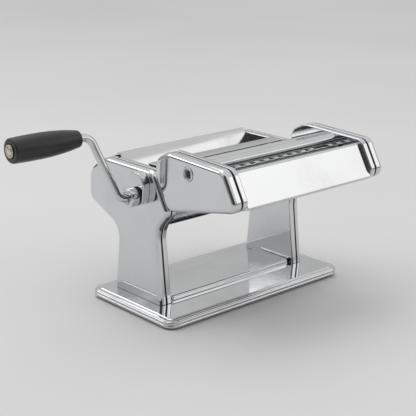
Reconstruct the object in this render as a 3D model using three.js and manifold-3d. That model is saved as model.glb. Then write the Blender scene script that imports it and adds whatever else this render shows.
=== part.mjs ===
// Hand-cranked pasta roller machine with a lift-off double cutter head. Millimetres, +Z up.
// X runs along the rollers, with the crank at -X. The cutter head hangs on the front, at -Y.
import * as THREE from 'three';
import { mergeVertices } from 'three/addons/utils/BufferGeometryUtils.js';
import Module from 'manifold-3d';

const wasm = await Module();
wasm.setup();

// ---- Driving dimensions ---------------------------------------------------------------------

const standSpan = 200;        // over the outer faces of the two stands
const standThickness = 14;    // one stand, outer face to inner face
const seamDepth = 7;          // outer face to the seam between a stand's two shells
const sheetWall = 1.5;        // pressed shells and base
const plateWall = 1.2;        // folded guides and covers
const faceBevel = 4.5;        // wide bevel round the outer faces
const innerBevel = 1.5;       // small round on the inner shells
const touchGap = 0.3;         // between pieces that rest on each other

const baseWidth = 240;
const baseDepth = 130;
const baseCorner = 12;
const baseTop = 10.2;
const baseBottom = 2;
const rimRound = 2.4;
const plateauRise = 4.8;
const plateauFront = -22.5;
const plateauBack = 29;
const footRadius = 9;
const footInset = 16;

const rollerRadius = 16;
const driveY = -0.7;
const driveZ = 119.5;
const widestGap = 2.3;        // between the rollers with the knob at its first step
const camThrow = 1.1;         // of the cam that shifts the adjustable roller
const knobSweep = 140;        // degrees between the knob's first and last steps
const shaftRadius = 6;
const runClearance = 0.4;     // faceted shafts in faceted bores
const rollerGearTeeth = 16;
const gearWidth = 6;

const legFront = -22.8;       // leg edges where the stand meets the base
const legBack = 44.8;
const leanAngle = Math.PI / 3; // slope of the head's front face and of the cutter slide
const headMargin = 5.3;       // roller surface to the head's face outline

const collarRadius = 9.5;
const collarLength = 9;
const socketSquare = 7;
const socketDepth = 22;
const bossDepth = 8;

const rodRadius = 4;
const armRise = 62;
const armSweepBack = 18.7;
const armFoot = 8.5;          // collar face to the arm's lower corner
const footBend = 7.5;         // how far from its corners each bend of the rod begins
const topBend = 9.5;
const armSlant = 19.5;        // how far the arm leans outward over its rise
const gripLength = 74;
const gripRadius = 12.3;
const gripNeck = 8;
const gripOffset = 12.5;      // arm's upper corner to the grip

const knobRadius = 18;
const knobDepth = 15;

const cutterOverhang = 1.5;   // cutter casing beyond the stand's outer face
const cutterThickness = 17.5;
const cutterSeam = 10;
const cutterSetback = 12.1;   // head face outline to cutter face outline, square to the slope
const cutterRollerRadius = 9.4;
const cutterRollerGap = 0.4;  // between the two rollers of a pair
const pairTeeth = 16;         // gear on each cutting roller
const pinionTeeth = 11;
const idlerTeeth = 8;
const journalRadius = 4;
const discPitch = 13;         // two cut widths of the wide cutter
const discDepth = 1.1;        // how far its discs reach past its core
const railWidth = 8;
const railX = 66;

// ---- Places worked out from them ------------------------------------------------------------

const faceX = standSpan / 2;
const innerX = faceX - standThickness;
const seamX = faceX - seamDepth;
const footZ = baseTop + touchGap;
const topZ = driveZ + rollerRadius + headMargin + 0.2;
const pitchDistance = 2 * rollerRadius + widestGap;
const drive = [driveY, driveZ];
const adjust = [driveY + pitchDistance, driveZ];
const pivot = [adjust[0] - camThrow, driveZ];
const closing = camThrow * (1 - Math.cos(THREE.MathUtils.degToRad(knobSweep)));
const midTravel = [adjust[0] - closing / 2, driveZ];
const rollerEnd = innerX - 4.5;
const bushRadius = shaftRadius + 2.2;
const neck = shaftRadius + 3;
const journal = shaftRadius - 1.5;
const leanAlong = [Math.cos(leanAngle), Math.sin(leanAngle)];
const leanOut = [-Math.sin(leanAngle), Math.cos(leanAngle)];
const headFront = rollerRadius + headMargin;
const headBack = pivot[0] + rollerRadius + 37;

// A point at a height on the line that lies a distance in front of the drive axis, on the slope.
function onLean(offset, z) {
  const rise = z - driveZ - offset * leanOut[1];
  return [driveY + offset * leanOut[0] + rise * leanAlong[0] / leanAlong[1], z];
}

const cutterModule = (2 * cutterRollerRadius + cutterRollerGap) / pairTeeth;
const cutterFaceX = faceX + cutterOverhang;
const cutterInnerX = cutterFaceX - cutterThickness;
const cutterSeamX = cutterFaceX - cutterSeam;
const cutterCorner = onLean(headFront + cutterSetback, driveZ - 4);
const inCutter = (y, z) => [cutterCorner[0] + y, cutterCorner[1] + z];
const turnFrom = (from, reach, degrees) => {
  const angle = THREE.MathUtils.degToRad(degrees);
  return [from[0] + reach * Math.cos(angle), from[1] + reach * Math.sin(angle)];
};
const meshReach = (a, b) => cutterModule * (a + b) / 2;
const pinionAxis = inCutter(-28.7, 38.8);
const wideFrontAxis = turnFrom(pinionAxis, meshReach(pinionTeeth, pairTeeth), -67);
const wideBackAxis = turnFrom(wideFrontAxis, meshReach(pairTeeth, pairTeeth), 0);
const idlerAxis = turnFrom(pinionAxis, meshReach(pinionTeeth, idlerTeeth), 163);
const narrowBackAxis = turnFrom(idlerAxis, meshReach(idlerTeeth, pairTeeth), -123.5);
const narrowFrontAxis = turnFrom(narrowBackAxis, meshReach(pairTeeth, pairTeeth), 180);

// ---- Finishes -------------------------------------------------------------------------------

const finish = (color, roughness, metalness) => ({ color, roughness, metalness });
const chrome = finish(0xc9cacc, 0.08, 1);
const polishedSteel = finish(0xb9babb, 0.22, 1);
const rollerSteel = finish(0xa9abad, 0.3, 1);
const zinc = finish(0x9a9c9e, 0.45, 1);
const brass = finish(0xb08d4a, 0.35, 1);
const blackPlastic = finish(0x141414, 0.45, 0);
const blackRubber = finish(0x101010, 0.8, 0);
const nylon = finish(0xe6e3da, 0.5, 0);

// ---- Geometry helpers -----------------------------------------------------------------------

const machine = new THREE.Group();

function add(name, geometry, look) {
  const mesh = new THREE.Mesh(geometry, new THREE.MeshStandardMaterial(look));
  mesh.name = name;
  machine.add(mesh);
}

function toSolid(geometry) {
  const bare = geometry.clone();
  bare.deleteAttribute('normal');
  bare.deleteAttribute('uv');
  const merged = mergeVertices(bare, 1e-4);
  return new wasm.Manifold(new wasm.Mesh({
    numProp: 3,
    vertProperties: new Float32Array(merged.attributes.position.array),
    triVerts: new Uint32Array(merged.index.array),
  }));
}

function toGeometry(solid) {
  const mesh = solid.getMesh();
  const geometry = new THREE.BufferGeometry();
  geometry.setAttribute('position', new THREE.BufferAttribute(mesh.vertProperties, 3));
  geometry.setIndex(new THREE.BufferAttribute(mesh.triVerts, 1));
  return geometry;
}

const join = (...pieces) => toGeometry(pieces.map(toSolid).reduce((a, b) => a.add(b)));
const cut = (body, ...tools) => toGeometry(
  tools.map(toSolid).reduce((rest, tool) => rest.subtract(tool), toSolid(body)));

// The same piece on the far side of the machine.
function mirrored(geometry) {
  const copy = mergeVertices(geometry.clone()).scale(-1, 1, 1);
  const order = copy.index.array;
  for (let i = 0; i < order.length; i += 3) [order[i], order[i + 1]] = [order[i + 1], order[i]];
  return copy;
}

// An outline through corners [y, z, ease]; ease is how far from the corner its round begins.
function outline(corners) {
  const shape = new THREE.Shape();
  corners.forEach(([y, z, ease = 0], i) => {
    const corner = new THREE.Vector2(y, z);
    const before = new THREE.Vector2(...corners.at(i - 1));
    const after = new THREE.Vector2(...corners[(i + 1) % corners.length]);
    const start = corner.clone().add(before.sub(corner).setLength(ease || 1e-9));
    const end = corner.clone().add(after.sub(corner).setLength(ease || 1e-9));
    if (i === 0) shape.moveTo(start.x, start.y);
    else shape.lineTo(start.x, start.y);
    if (ease) shape.quadraticCurveTo(y, z, end.x, end.y);
  });
  shape.closePath();
  return shape;
}

// The outline of a folded sheet that follows a line of points.
function sheetOutline(points, wall = plateWall) {
  const line = points.map(([y, z]) => new THREE.Vector2(y, z));
  const side = (i) => {
    const along = line[i + 1].clone().sub(line[i]).normalize();
    return new THREE.Vector2(-along.y, along.x);
  };
  const offsets = line.map((point, i) => {
    const a = side(Math.max(i - 1, 0));
    const b = side(Math.min(i, line.length - 2));
    const mitre = a.clone().add(b).normalize();
    return mitre.multiplyScalar(wall / 2 / mitre.dot(a));
  });
  const left = line.map((point, i) => point.clone().add(offsets[i]));
  const right = line.map((point, i) => point.clone().sub(offsets[i])).reverse();
  return new THREE.Shape([...left, ...right]);
}

// Turns a drawing in (y, z), extruded upwards, to run along X.
const layAlongX = (geometry) => geometry.applyMatrix4(new THREE.Matrix4().makeBasis(
  new THREE.Vector3(0, 1, 0), new THREE.Vector3(0, 0, 1), new THREE.Vector3(1, 0, 0)));

function prismX(shape, x0, x1, curveSegments = 5) {
  const options = { depth: x1 - x0, bevelEnabled: false, curveSegments };
  return layAlongX(new THREE.ExtrudeGeometry(shape, options)).translate(x0, 0, 0);
}

const foldedSheet = (points, x0, x1) => prismX(sheetOutline(points), x0, x1);

function rodX([y, z], radius, x0, x1, sides = 16) {
  const rod = new THREE.CylinderGeometry(radius, radius, x1 - x0, sides);
  return rod.rotateZ(Math.PI / 2).translate((x0 + x1) / 2, y, z);
}

// A turned piece: its profile is a closed list of [x, radius].
function turnedX([y, z], profile, sides = 16) {
  const points = profile.map(([x, radius]) => new THREE.Vector2(radius, x));
  const area = points.reduce((sum, p, i) => sum + p.cross(points[(i + 1) % points.length]), 0);
  if (area < 0) points.reverse();
  const lathe = new THREE.LatheGeometry([...points, points[0]], sides);
  return lathe.rotateZ(-Math.PI / 2).translate(0, y, z);
}

function block(x0, x1, y0, y1, z0, z1) {
  const box = new THREE.BoxGeometry(x1 - x0, y1 - y0, z1 - z0);
  return box.translate((x0 + x1) / 2, (y0 + y1) / 2, (z0 + z1) / 2);
}

// A square bar along X, on an axis.
function squareBar([y, z], side, x0, x1) {
  return block(x0, x1, y - side / 2, y + side / 2, z - side / 2, z + side / 2);
}

// A bar on the sloping front: between two heights, standing off the drive axis by near to far.
function leanBar(x0, x1, z0, z1, near, far) {
  return prismX(new THREE.Shape([onLean(near, z0), onLean(near, z1), onLean(far, z1 + (far - near) / 2),
    onLean(far, z0 + (far - near) / 2)].map(([y, z]) => new THREE.Vector2(y, z)).reverse()), x0, x1);
}

// A pressed cup with a closed face, an open mouth and a rounded edge between its face and its side.
// The side stands off the outline by faceBevel. A cup with a floor ends at that height.
function pressedCup(corners, face, mouth, bevel, floor = null) {
  const way = Math.sign(mouth - face);
  const depth = 3 * Math.abs(mouth - face);
  const shell = (inset) => layAlongX(new THREE.ExtrudeGeometry(outline(corners), {
    depth, curveSegments: 5, bevelThickness: bevel, bevelSize: bevel,
    bevelOffset: faceBevel - bevel - inset, bevelSegments: bevel < faceBevel ? 1 : 2,
  })).translate(face + way * (bevel + inset) - (way < 0 ? depth : 0), 0, 0);
  const room = 2 * baseWidth;
  const beyond = block(-room, room, -room, room, -room, room).translate(mouth + way * room, 0, 0);
  const ground = (z) => block(-room, room, -room, room, -room, z);
  const outer = cut(shell(0), beyond);
  const hollow = shell(sheetWall);
  if (floor === null) return cut(outer, hollow);
  return cut(cut(outer, ground(floor)), cut(hollow, ground(floor + sheetWall)));
}

// Teeth with straight flanks, tooth centre at the given phase.
function gearOutline([y, z], teeth, root, tip, rootWidth, tipWidth, phase) {
  const points = [];
  for (let i = 0; i < teeth; i += 1) {
    const centre = phase + (2 * Math.PI * i) / teeth;
    const form = [[root, -rootWidth], [tip, -tipWidth], [tip, tipWidth], [root, rootWidth]];
    for (const [radius, width] of form) {
      const angle = centre + width / 2 / radius;
      points.push(new THREE.Vector2(y + radius * Math.cos(angle), z + radius * Math.sin(angle)));
    }
  }
  return new THREE.Shape(points);
}

// The phase that sets a gear's gap against the other gear's tooth, seen along the line of centres.
function meshedPhase(from, fromTeeth, fromPhase, to, toTeeth) {
  const bearing = Math.atan2(to[1] - from[1], to[0] - from[0]);
  return bearing + Math.PI - (fromTeeth / toTeeth) * (fromPhase - bearing) - Math.PI / toTeeth;
}

// ---- Base -----------------------------------------------------------------------------------

// A block with a rounded top edge, its corners eased in plan.
function slab(width, front, back, corner, bottom, top, round) {
  const x = width / 2 - round;
  const depth = 2 * (top - bottom);
  const shape = outline([[-x, front + round, corner], [x, front + round, corner],
    [x, back - round, corner], [-x, back - round, corner]]);
  const body = new THREE.ExtrudeGeometry(shape, { depth, curveSegments: 4, bevelThickness: round,
    bevelSize: round, bevelSegments: 2 }).translate(0, 0, top - round - depth);
  return cut(body, block(-width, width, -width, width, -width, bottom));
}

function addBase() {
  const plateauWidth = 2 * (innerX - touchGap) - 2;
  const plateauTop = baseTop + plateauRise;
  const half = baseDepth / 2;
  const skin = join(slab(baseWidth, -half, half, baseCorner, baseBottom, baseTop, rimRound),
    slab(plateauWidth, plateauFront, plateauBack, 5, baseBottom, plateauTop, 1.5));
  const w = sheetWall;
  const hollow = join(
    slab(baseWidth - 2 * w, -half + w, half - w, baseCorner - w, baseBottom - 5, baseTop - w, 1.5),
    slab(plateauWidth - 2 * w, plateauFront + w, plateauBack - w, 3.5, baseBottom - 5, plateauTop - w, 0.8));
  add('base_plate', cut(skin, hollow), chrome);
  const footTop = baseTop - w - touchGap;
  const footProfile = [[0, 0], [footRadius - 1.2, 0], [footRadius, 1.2], [footRadius - 0.8, footTop],
    [0, footTop]];
  const footX = baseWidth / 2 - footInset;
  const footY = baseDepth / 2 - footInset;
  for (const [side, sx] of [['near', -1], ['far', 1]]) {
    for (const [end, sy] of [['front', -1], ['back', 1]]) {
      const foot = new THREE.LatheGeometry(footProfile.map(([r, z]) => new THREE.Vector2(r, z)), 14);
      foot.rotateX(Math.PI / 2).translate(sx * footX, sy * footY, 0);
      add(`foot_${end}_${side}`, foot, blackRubber);
    }
  }
}

// ---- Stands ---------------------------------------------------------------------------------

const standCorners = [
  [legFront, footZ - 8],
  [driveY - 13.2, driveZ - 32.5, 14],
  [...onLean(headFront, driveZ - 12.2), 3.5],
  [...onLean(headFront, topZ), 5],
  [headBack - 25, topZ, 7],
  [headBack - 1.5, driveZ + 6.5, 7],
  [headBack, driveZ - 19.3, 5],
  [headBack - 49.4, driveZ - 40.5, 17],
  [legBack, footZ - 8],
];

function addStands() {
  const outer = () => pressedCup(standCorners, -faceX, -seamX, faceBevel, footZ);
  const inner = () => pressedCup(standCorners, -innerX, touchGap - seamX, innerBevel, footZ);
  const driveBore = (x0, x1) => rodX(drive, shaftRadius + runClearance, x0, x1);
  const slot = (radius) => rodX(midTravel, radius + closing / 2 + runClearance, -innerX - 9, innerX + 9, 20);
  add('near_outer_shell', cut(outer(), driveBore(-faceX - 5, -seamX)), chrome);
  add('near_inner_shell', cut(inner(), driveBore(-seamX, 0), slot(journal)), chrome);
  const bushHole = (axis) => rodX(axis, bushRadius + touchGap, seamX, faceX + 5);
  add('far_outer_shell', cut(mirrored(outer()), bushHole(pivot), bushHole(drive)), chrome);
  add('far_inner_shell', cut(mirrored(inner()), driveBore(0, seamX + 1), slot(neck)), chrome);
}

// ---- Covers and guides between the stands ---------------------------------------------------

function addCovers() {
  const end = innerX - touchGap;
  const across = (points) => foldedSheet(points, -end, end);
  const top = topZ + faceBevel + 1.4;
  const lip = [driveY + 3.7, driveZ + rollerRadius + 2.3];
  const hopperFront = driveY + 8.7;
  add('top_plate', across([lip, [hopperFront, top], [driveY - 8, top]]), polishedSteel);
  const coverOffset = headFront + faceBevel - 1.4;
  add('front_cover', across([
    onLean(coverOffset, top - 2.2), onLean(coverOffset, driveZ - 10.2),
    [driveY - 20.3, driveZ - 29.3], [driveY - 10, driveZ - 29.3]]), chrome);
  const guideReach = rollerRadius + 1.34;
  add('hopper_guide', across([
    [adjust[0] + 0.634 * guideReach, driveZ + 0.773 * guideReach],
    [adjust[0] + rollerRadius + 4.9, top + 2.2],
    [adjust[0] + rollerRadius + 8.6, top + 0.8]]), polishedSteel);
  add('back_cover', across([
    [headBack - 22.5, topZ + faceBevel - 1.2], [headBack + 0.6, driveZ + 8.6], [headBack + 2.2, driveZ - 20],
    [headBack - 29, driveZ - 31.5], [headBack - 41, driveZ - 31.5]]), chrome);
  const tipZ = driveZ - Math.sqrt(0.8) * (rollerRadius + 1);
  const tipAside = Math.sqrt(0.2) * (rollerRadius + 1);
  const scraper = (heel, tip) => across([[heel, tipZ - 5.5], [tip, tipZ]]);
  add('drive_scraper', scraper(driveY - tipAside - 8.5, driveY - tipAside - 0.6), zinc);
  add('adjust_scraper', scraper(adjust[0] + tipAside + 9, adjust[0] + tipAside + 1.4), zinc);
  const tie = (name, at) => add(name, rodX(at, 3.5, -end, end, 12), zinc);
  tie('tie_rod_front', [driveY - rollerRadius - 5.5, driveZ - 9]);
  tie('tie_rod_back', [headBack - 13, driveZ - 6]);
  tie('tie_rod_top', [headBack - 20, driveZ + 14]);
}

// ---- Rollers, their gears and bushes --------------------------------------------------------

const rollerGear = {
  root: rollerRadius - closing - 0.15,
  tip: rollerRadius + 1.95,
  rootWidth: 3.4,
  tipWidth: 1.1,
};
const gearX0 = innerX + sheetWall + 1;
const gearX1 = gearX0 + gearWidth;

function rollerGearRing(at, phase, bore) {
  const shape = gearOutline(at, rollerGearTeeth, rollerGear.root, rollerGear.tip, rollerGear.rootWidth,
    rollerGear.tipWidth, phase);
  return cut(prismX(shape, gearX0, gearX1), rodX(at, bore, gearX0 - 1, gearX1 + 1, 20));
}

const collarFace = -(faceX + touchGap + bossDepth + 2.7 + collarLength);

function addDriveRoller() {
  const end = faceX - touchGap;
  const roller = turnedX(drive, [
    [collarFace, 0], [collarFace, shaftRadius], [-rollerEnd - 1.5, shaftRadius], [-rollerEnd - 1.5, neck],
    [-rollerEnd, neck], [-rollerEnd, rollerRadius - 0.6], [-rollerEnd + 0.6, rollerRadius],
    [rollerEnd - 0.6, rollerRadius], [rollerEnd, rollerRadius - 0.6], [rollerEnd, neck],
    [rollerEnd + 1.5, neck], [rollerEnd + 1.5, shaftRadius], [end, shaftRadius], [end, 0]], 28);
  const socket = squareBar(drive, socketSquare, collarFace - 1, collarFace + socketDepth);
  add('drive_roller', cut(roller, socket), rollerSteel);
  add('drive_gear', rollerGearRing(drive, 0, shaftRadius + touchGap), zinc);
  const ring = shaftRadius + touchGap;
  add('crank_collar', turnedX(drive, [
    [collarFace, ring], [collarFace, collarRadius - 1], [collarFace + 1, collarRadius],
    [collarFace + collarLength - 0.6, collarRadius], [collarFace + collarLength, collarRadius - 0.6],
    [collarFace + collarLength, ring]], 24), chrome);
  const ringWire = 1.1;
  const seal = new THREE.TorusGeometry(ring + ringWire + 0.5, ringWire, 6, 20).rotateY(Math.PI / 2);
  add('collar_ring', seal.translate(collarFace + collarLength + 1.4, ...drive), blackRubber);
  add('far_drive_bush', farBush(drive, shaftRadius + runClearance), nylon);
}

// A plain bush set flush in the far shell's wall.
function farBush(axis, bore) {
  const inside = faceX - sheetWall;
  return turnedX(axis, [[inside, bore], [inside, bushRadius], [faceX, bushRadius], [faceX, bore]]);
}

function addDriveBoss() {
  const top = [driveY + 1.2, driveZ + 11.5];
  const topRadius = 12.3;
  const low = collarRadius;
  const reach = Math.hypot(top[0] - driveY, top[1] - driveZ);
  const bearing = Math.atan2(top[1] - driveZ, top[0] - driveY);
  const open = Math.acos((low - topRadius) / reach);
  const shape = new THREE.Shape();
  shape.absarc(driveY, driveZ, low - 1, bearing + open, bearing - open + 2 * Math.PI, false);
  shape.absarc(top[0], top[1], topRadius - 1, bearing - open, bearing + open, false);
  const depth = bossDepth - 1;
  const body = new THREE.ExtrudeGeometry(shape, { depth, curveSegments: 10, bevelThickness: 1, bevelSize: 1,
    bevelSegments: 2 });
  const end = -faceX - touchGap;
  layAlongX(body).translate(end - depth, 0, 0);
  const flat = block(end, end + 10, -50, 50, driveZ - 50, driveZ + 50);
  add('drive_boss', cut(body, flat, rodX(drive, shaftRadius + runClearance, end - 20, end + 1)), chrome);
}

function addAdjustableRoller() {
  const bore = shaftRadius + runClearance;
  add('adjustable_roller', turnedX(adjust, [
    [-rollerEnd, bore], [-rollerEnd, rollerRadius - 0.6], [-rollerEnd + 0.6, rollerRadius],
    [rollerEnd - 0.6, rollerRadius], [rollerEnd, rollerRadius - 0.6], [rollerEnd, neck],
    [gearX1 + 0.5, neck], [gearX1 + 0.5, bore]], 28), rollerSteel);
  const phase = meshedPhase(drive, rollerGearTeeth, 0, adjust, rollerGearTeeth);
  add('adjustable_gear', rollerGearRing(adjust, phase, neck + touchGap), zinc);
  add('roller_axle', join(rodX(adjust, shaftRadius, -rollerEnd - 2, gearX1 + 0.5),
    rodX(adjust, journal, -innerX - sheetWall - 3, -rollerEnd - 1),
    rodX(adjust, axlePin, gearX1, camX1 - touchGap, 12)), zinc);
}

// The cam turns in the far shell. Its off-centre pocket holds the axle's pin.
const axlePin = 2.5;
const camX1 = faceX - sheetWall - touchGap;
const knobX0 = faceX + 3;

function addCam() {
  const pocket = axlePin + camThrow + 0.25;
  const disc = cut(rodX(pivot, camThrow + pocket + 1.2, gearX1 + 0.5 + touchGap, camX1, 24),
    rodX(adjust, pocket, gearX1, camX1 - 0.05, 20));
  add('gap_cam', join(disc, rodX(pivot, journal, camX1 - 0.1, knobX0 + 5, 16)), zinc);
  add('far_gap_bush', farBush(pivot, journal + runClearance), nylon);
}

// ---- Thickness knob on the far side ---------------------------------------------------------

function addKnob() {
  const x0 = knobX0;
  const x1 = x0 + knobDepth;
  const bore = journal + runClearance;
  const boreEnd = x0 + 8;
  const profile = [[x0, bore], [x0, knobRadius - 1], [x0 + 1, knobRadius], [x1 - 2, knobRadius - 1.4],
    [x1, knobRadius - 3.4], [x1, 0], [boreEnd, 0], [boreEnd, bore]];
  add('gap_knob', turnedX(pivot, profile, 24), blackPlastic);
  const ringInner = knobRadius - 2.6;
  add('dial_ring', turnedX(pivot, [[faceX + touchGap, ringInner], [faceX + touchGap, knobRadius + 4],
    [faceX + 1.8, knobRadius + 4], [faceX + 2.4, knobRadius + 3.2], [faceX + 2.4, ringInner]], 28), chrome);
  const pin = [pivot[0] - knobRadius + 6, pivot[1]];
  add('knob_pin', rodX(pin, 1.6, faceX + touchGap + 0.2, x0 - touchGap, 10), zinc);
}

// ---- Crank ----------------------------------------------------------------------------------

function addCrank() {
  const start = new THREE.Vector3(collarFace - 0.6, driveY, driveZ);
  const low = new THREE.Vector3(collarFace - armFoot, driveY, driveZ);
  const high = new THREE.Vector3(low.x - armSlant, driveY + armSweepBack, driveZ + armRise);
  const gripStart = high.x - gripOffset;
  const end = new THREE.Vector3(gripStart - gripLength - 1.6, high.y, high.z);
  const towards = (from, to, reach) => to.clone().sub(from).setLength(reach).add(from);
  const path = new THREE.CurvePath();
  const stops = [start, towards(low, start, footBend), towards(low, high, footBend),
    towards(high, low, topBend), towards(high, end, topBend), end];
  path.add(new THREE.LineCurve3(stops[0], stops[1]));
  path.add(new THREE.QuadraticBezierCurve3(stops[1], low, stops[2]));
  path.add(new THREE.LineCurve3(stops[2], stops[3]));
  path.add(new THREE.QuadraticBezierCurve3(stops[3], high, stops[4]));
  path.add(new THREE.LineCurve3(stops[4], stops[5]));
  const section = new THREE.Shape().absarc(0, 0, rodRadius, 0, 2 * Math.PI);
  const rod = new THREE.ExtrudeGeometry(section, { steps: 36, curveSegments: 5, extrudePath: path });
  const tang = squareBar(drive, socketSquare - 2 * touchGap, collarFace - 2, collarFace + socketDepth - 2);
  add('crank_rod', join(rod, tang), chrome);
  const axis = [high.y, high.z];
  const bore = rodRadius + runClearance;
  const g0 = gripStart;
  const g1 = gripStart - gripLength;
  add('crank_grip', turnedX(axis, [
    [g0, bore], [g0, gripNeck - 1.2], [g0 - 1.5, gripNeck], [g0 - 8, gripNeck + 1.2], [g0 - 18, gripNeck + 3],
    [g0 - 30, gripRadius - 0.4], [g0 - 42, gripRadius], [g1 + 5, gripRadius - 0.2],
    [g1 + 1.6, gripRadius - 1], [g1, gripRadius - 2.6], [g1, bore]], 20), blackPlastic);
  const washerInner = g1 - touchGap;
  const washerOuter = g1 - 1.2;
  add('grip_washer', turnedX(axis, [[washerInner, bore], [washerInner, bore + 1.8],
    [washerOuter, bore + 1.8], [washerOuter, bore]], 16), brass);
}

// ---- Cutter head ----------------------------------------------------------------------------

const cutterCorners = [
  [...inCutter(0, 0), 4],
  [...inCutter(16, 27.7), 4],
  [...inCutter(16, 41.5), 5],
  [...inCutter(0.6, 49.5), 5],
  [...inCutter(-73.2, 46.5), 4],
  [...inCutter(-89, 18.1), 6],
].reverse();

const cutterAxes = [wideFrontAxis, wideBackAxis, narrowBackAxis, narrowFrontAxis];
const socketBushRadius = 7;
const stubRadius = 5;

function addCutterCasing() {
  const journals = cutterAxes.map((axis) => rodX(axis, journalRadius + runClearance, -2 * faceX, 0));
  const stub = rodX(pinionAxis, stubRadius - 2 + runClearance, -2 * faceX, 0);
  const idler = rodX(idlerAxis, 2 + runClearance, -2 * faceX, 0);
  const outer = () => pressedCup(cutterCorners, -cutterFaceX, -cutterSeamX, faceBevel);
  const inner = () => pressedCup(cutterCorners, -cutterInnerX, touchGap - cutterSeamX, innerBevel);
  const socketHole = rodX(pinionAxis, socketBushRadius + touchGap, -2 * faceX, -cutterSeamX, 20);
  add('near_cutter_outer_shell', cut(outer(), socketHole), chrome);
  add('near_cutter_inner_shell', cut(inner(), ...journals, stub, idler), chrome);
  add('far_cutter_outer_shell', mirrored(outer()), chrome);
  add('far_cutter_inner_shell', mirrored(cut(inner(), ...journals)), chrome);
  add('cutter_socket_bush', turnedX(pinionAxis, [
    [-cutterFaceX - 0.8, stubRadius + runClearance], [-cutterFaceX - 0.8, socketBushRadius - 0.6],
    [-cutterFaceX - 0.2, socketBushRadius], [-cutterFaceX + sheetWall + 1, socketBushRadius],
    [-cutterFaceX + sheetWall + 1, stubRadius + runClearance]], 20), polishedSteel);
}

function addCutterPlates() {
  const end = cutterInnerX - touchGap;
  const across = (points) => foldedSheet(points.map(([y, z]) => inCutter(y, z)), -end, end);
  add('cutter_front_panel', across([[-63.5, 42], [-72.6, 47.2], [-90.8, 14.7], [-87.4, 13.6]]), chrome);
  add('cutter_divider', across([[-25.2, 36.8], [-36.8, 50.6], [-43.4, 48.2], [-44, 43]]), polishedSteel);
  const skin = across([[-8.6, 34.4], [4.6, 39.4], [13, 36.6], [13, 28.2], [-1.7, 2.7]]);
  const plateOut = headFront + cutterSetback + 2.6;
  const channel = (x) => [x - railWidth / 2 - 3, x + railWidth / 2 + 1].map(
    (x0) => leanBar(x0, x0 + 2, driveZ + 2, driveZ + 19, headFront + faceBevel + 3.4, plateOut + 0.2));
  add('cutter_back_plate', join(skin, ...channel(-railX), ...channel(railX)), polishedSteel);
  const fromCorner = ([y, z], dy, dz) => [y - cutterCorner[0] + dy, z - cutterCorner[1] + dz];
  const below = cutterRollerRadius + 0.48;
  add('wide_stripper', across([
    fromCorner(wideFrontAxis, 5.37, -below - 8), fromCorner(wideFrontAxis, 7.17, -below)]), zinc);
  add('narrow_stripper', across([
    fromCorner(narrowBackAxis, -3.45, -below - 7.2), fromCorner(narrowBackAxis, -8.45, -below + 0.4)]), zinc);
  const tie = (name, y, z) => add(name, rodX(inCutter(y, z), 2.5, -end, end, 10), zinc);
  tie('cutter_tie_back', -3.4, 9);
  tie('cutter_tie_middle', -36, 18.5);
  tie('cutter_tie_front', -80, 24);
}

function addRails() {
  const rail = (x) => leanBar(x - railWidth / 2, x + railWidth / 2, driveZ - 5, driveZ + 20,
    headFront + faceBevel - 0.5, headFront + faceBevel + 5);
  add('near_cutter_rail', rail(-railX), zinc);
  add('far_cutter_rail', rail(railX), zinc);
}

const toothForm = {
  tipRise: 0.8 * cutterModule,
  rootDrop: 1.15 * cutterModule,
  rootWidth: 0.62 * Math.PI * cutterModule,
  tipWidth: 0.2 * Math.PI * cutterModule,
};
const cutterGearX0 = -cutterFaceX + faceBevel + 0.6;
const cutterGearX1 = cutterGearX0 + gearWidth;

function cutterGear(at, teeth, phase) {
  const pitch = (cutterModule * teeth) / 2;
  return prismX(gearOutline(at, teeth, pitch - toothForm.rootDrop, pitch + toothForm.tipRise,
    toothForm.rootWidth, toothForm.tipWidth, phase), cutterGearX0, cutterGearX1);
}

// A cutting roller with its gear. Discs are given as [first x, pitch, width] along the core.
function cuttingRoller(axis, phase, discs) {
  const end = cutterInnerX - 1.2;
  const far = cutterInnerX + 4;
  const core = cutterRollerRadius - (discs ? discDepth : 0);
  const profile = [[cutterGearX0, 0], [cutterGearX0, journalRadius], [-end, journalRadius], [-end, core]];
  for (let x = discs ? discs.first : end; x + discPitch / 2 < end; x += discPitch) {
    profile.push([x, core], [x, discs.radius], [x + discs.width, discs.radius], [x + discs.width, core]);
  }
  profile.push([end, core], [end, journalRadius], [far, journalRadius], [far, 0]);
  return join(turnedX(axis, profile, 12), cutterGear(axis, pairTeeth, phase));
}

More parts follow.
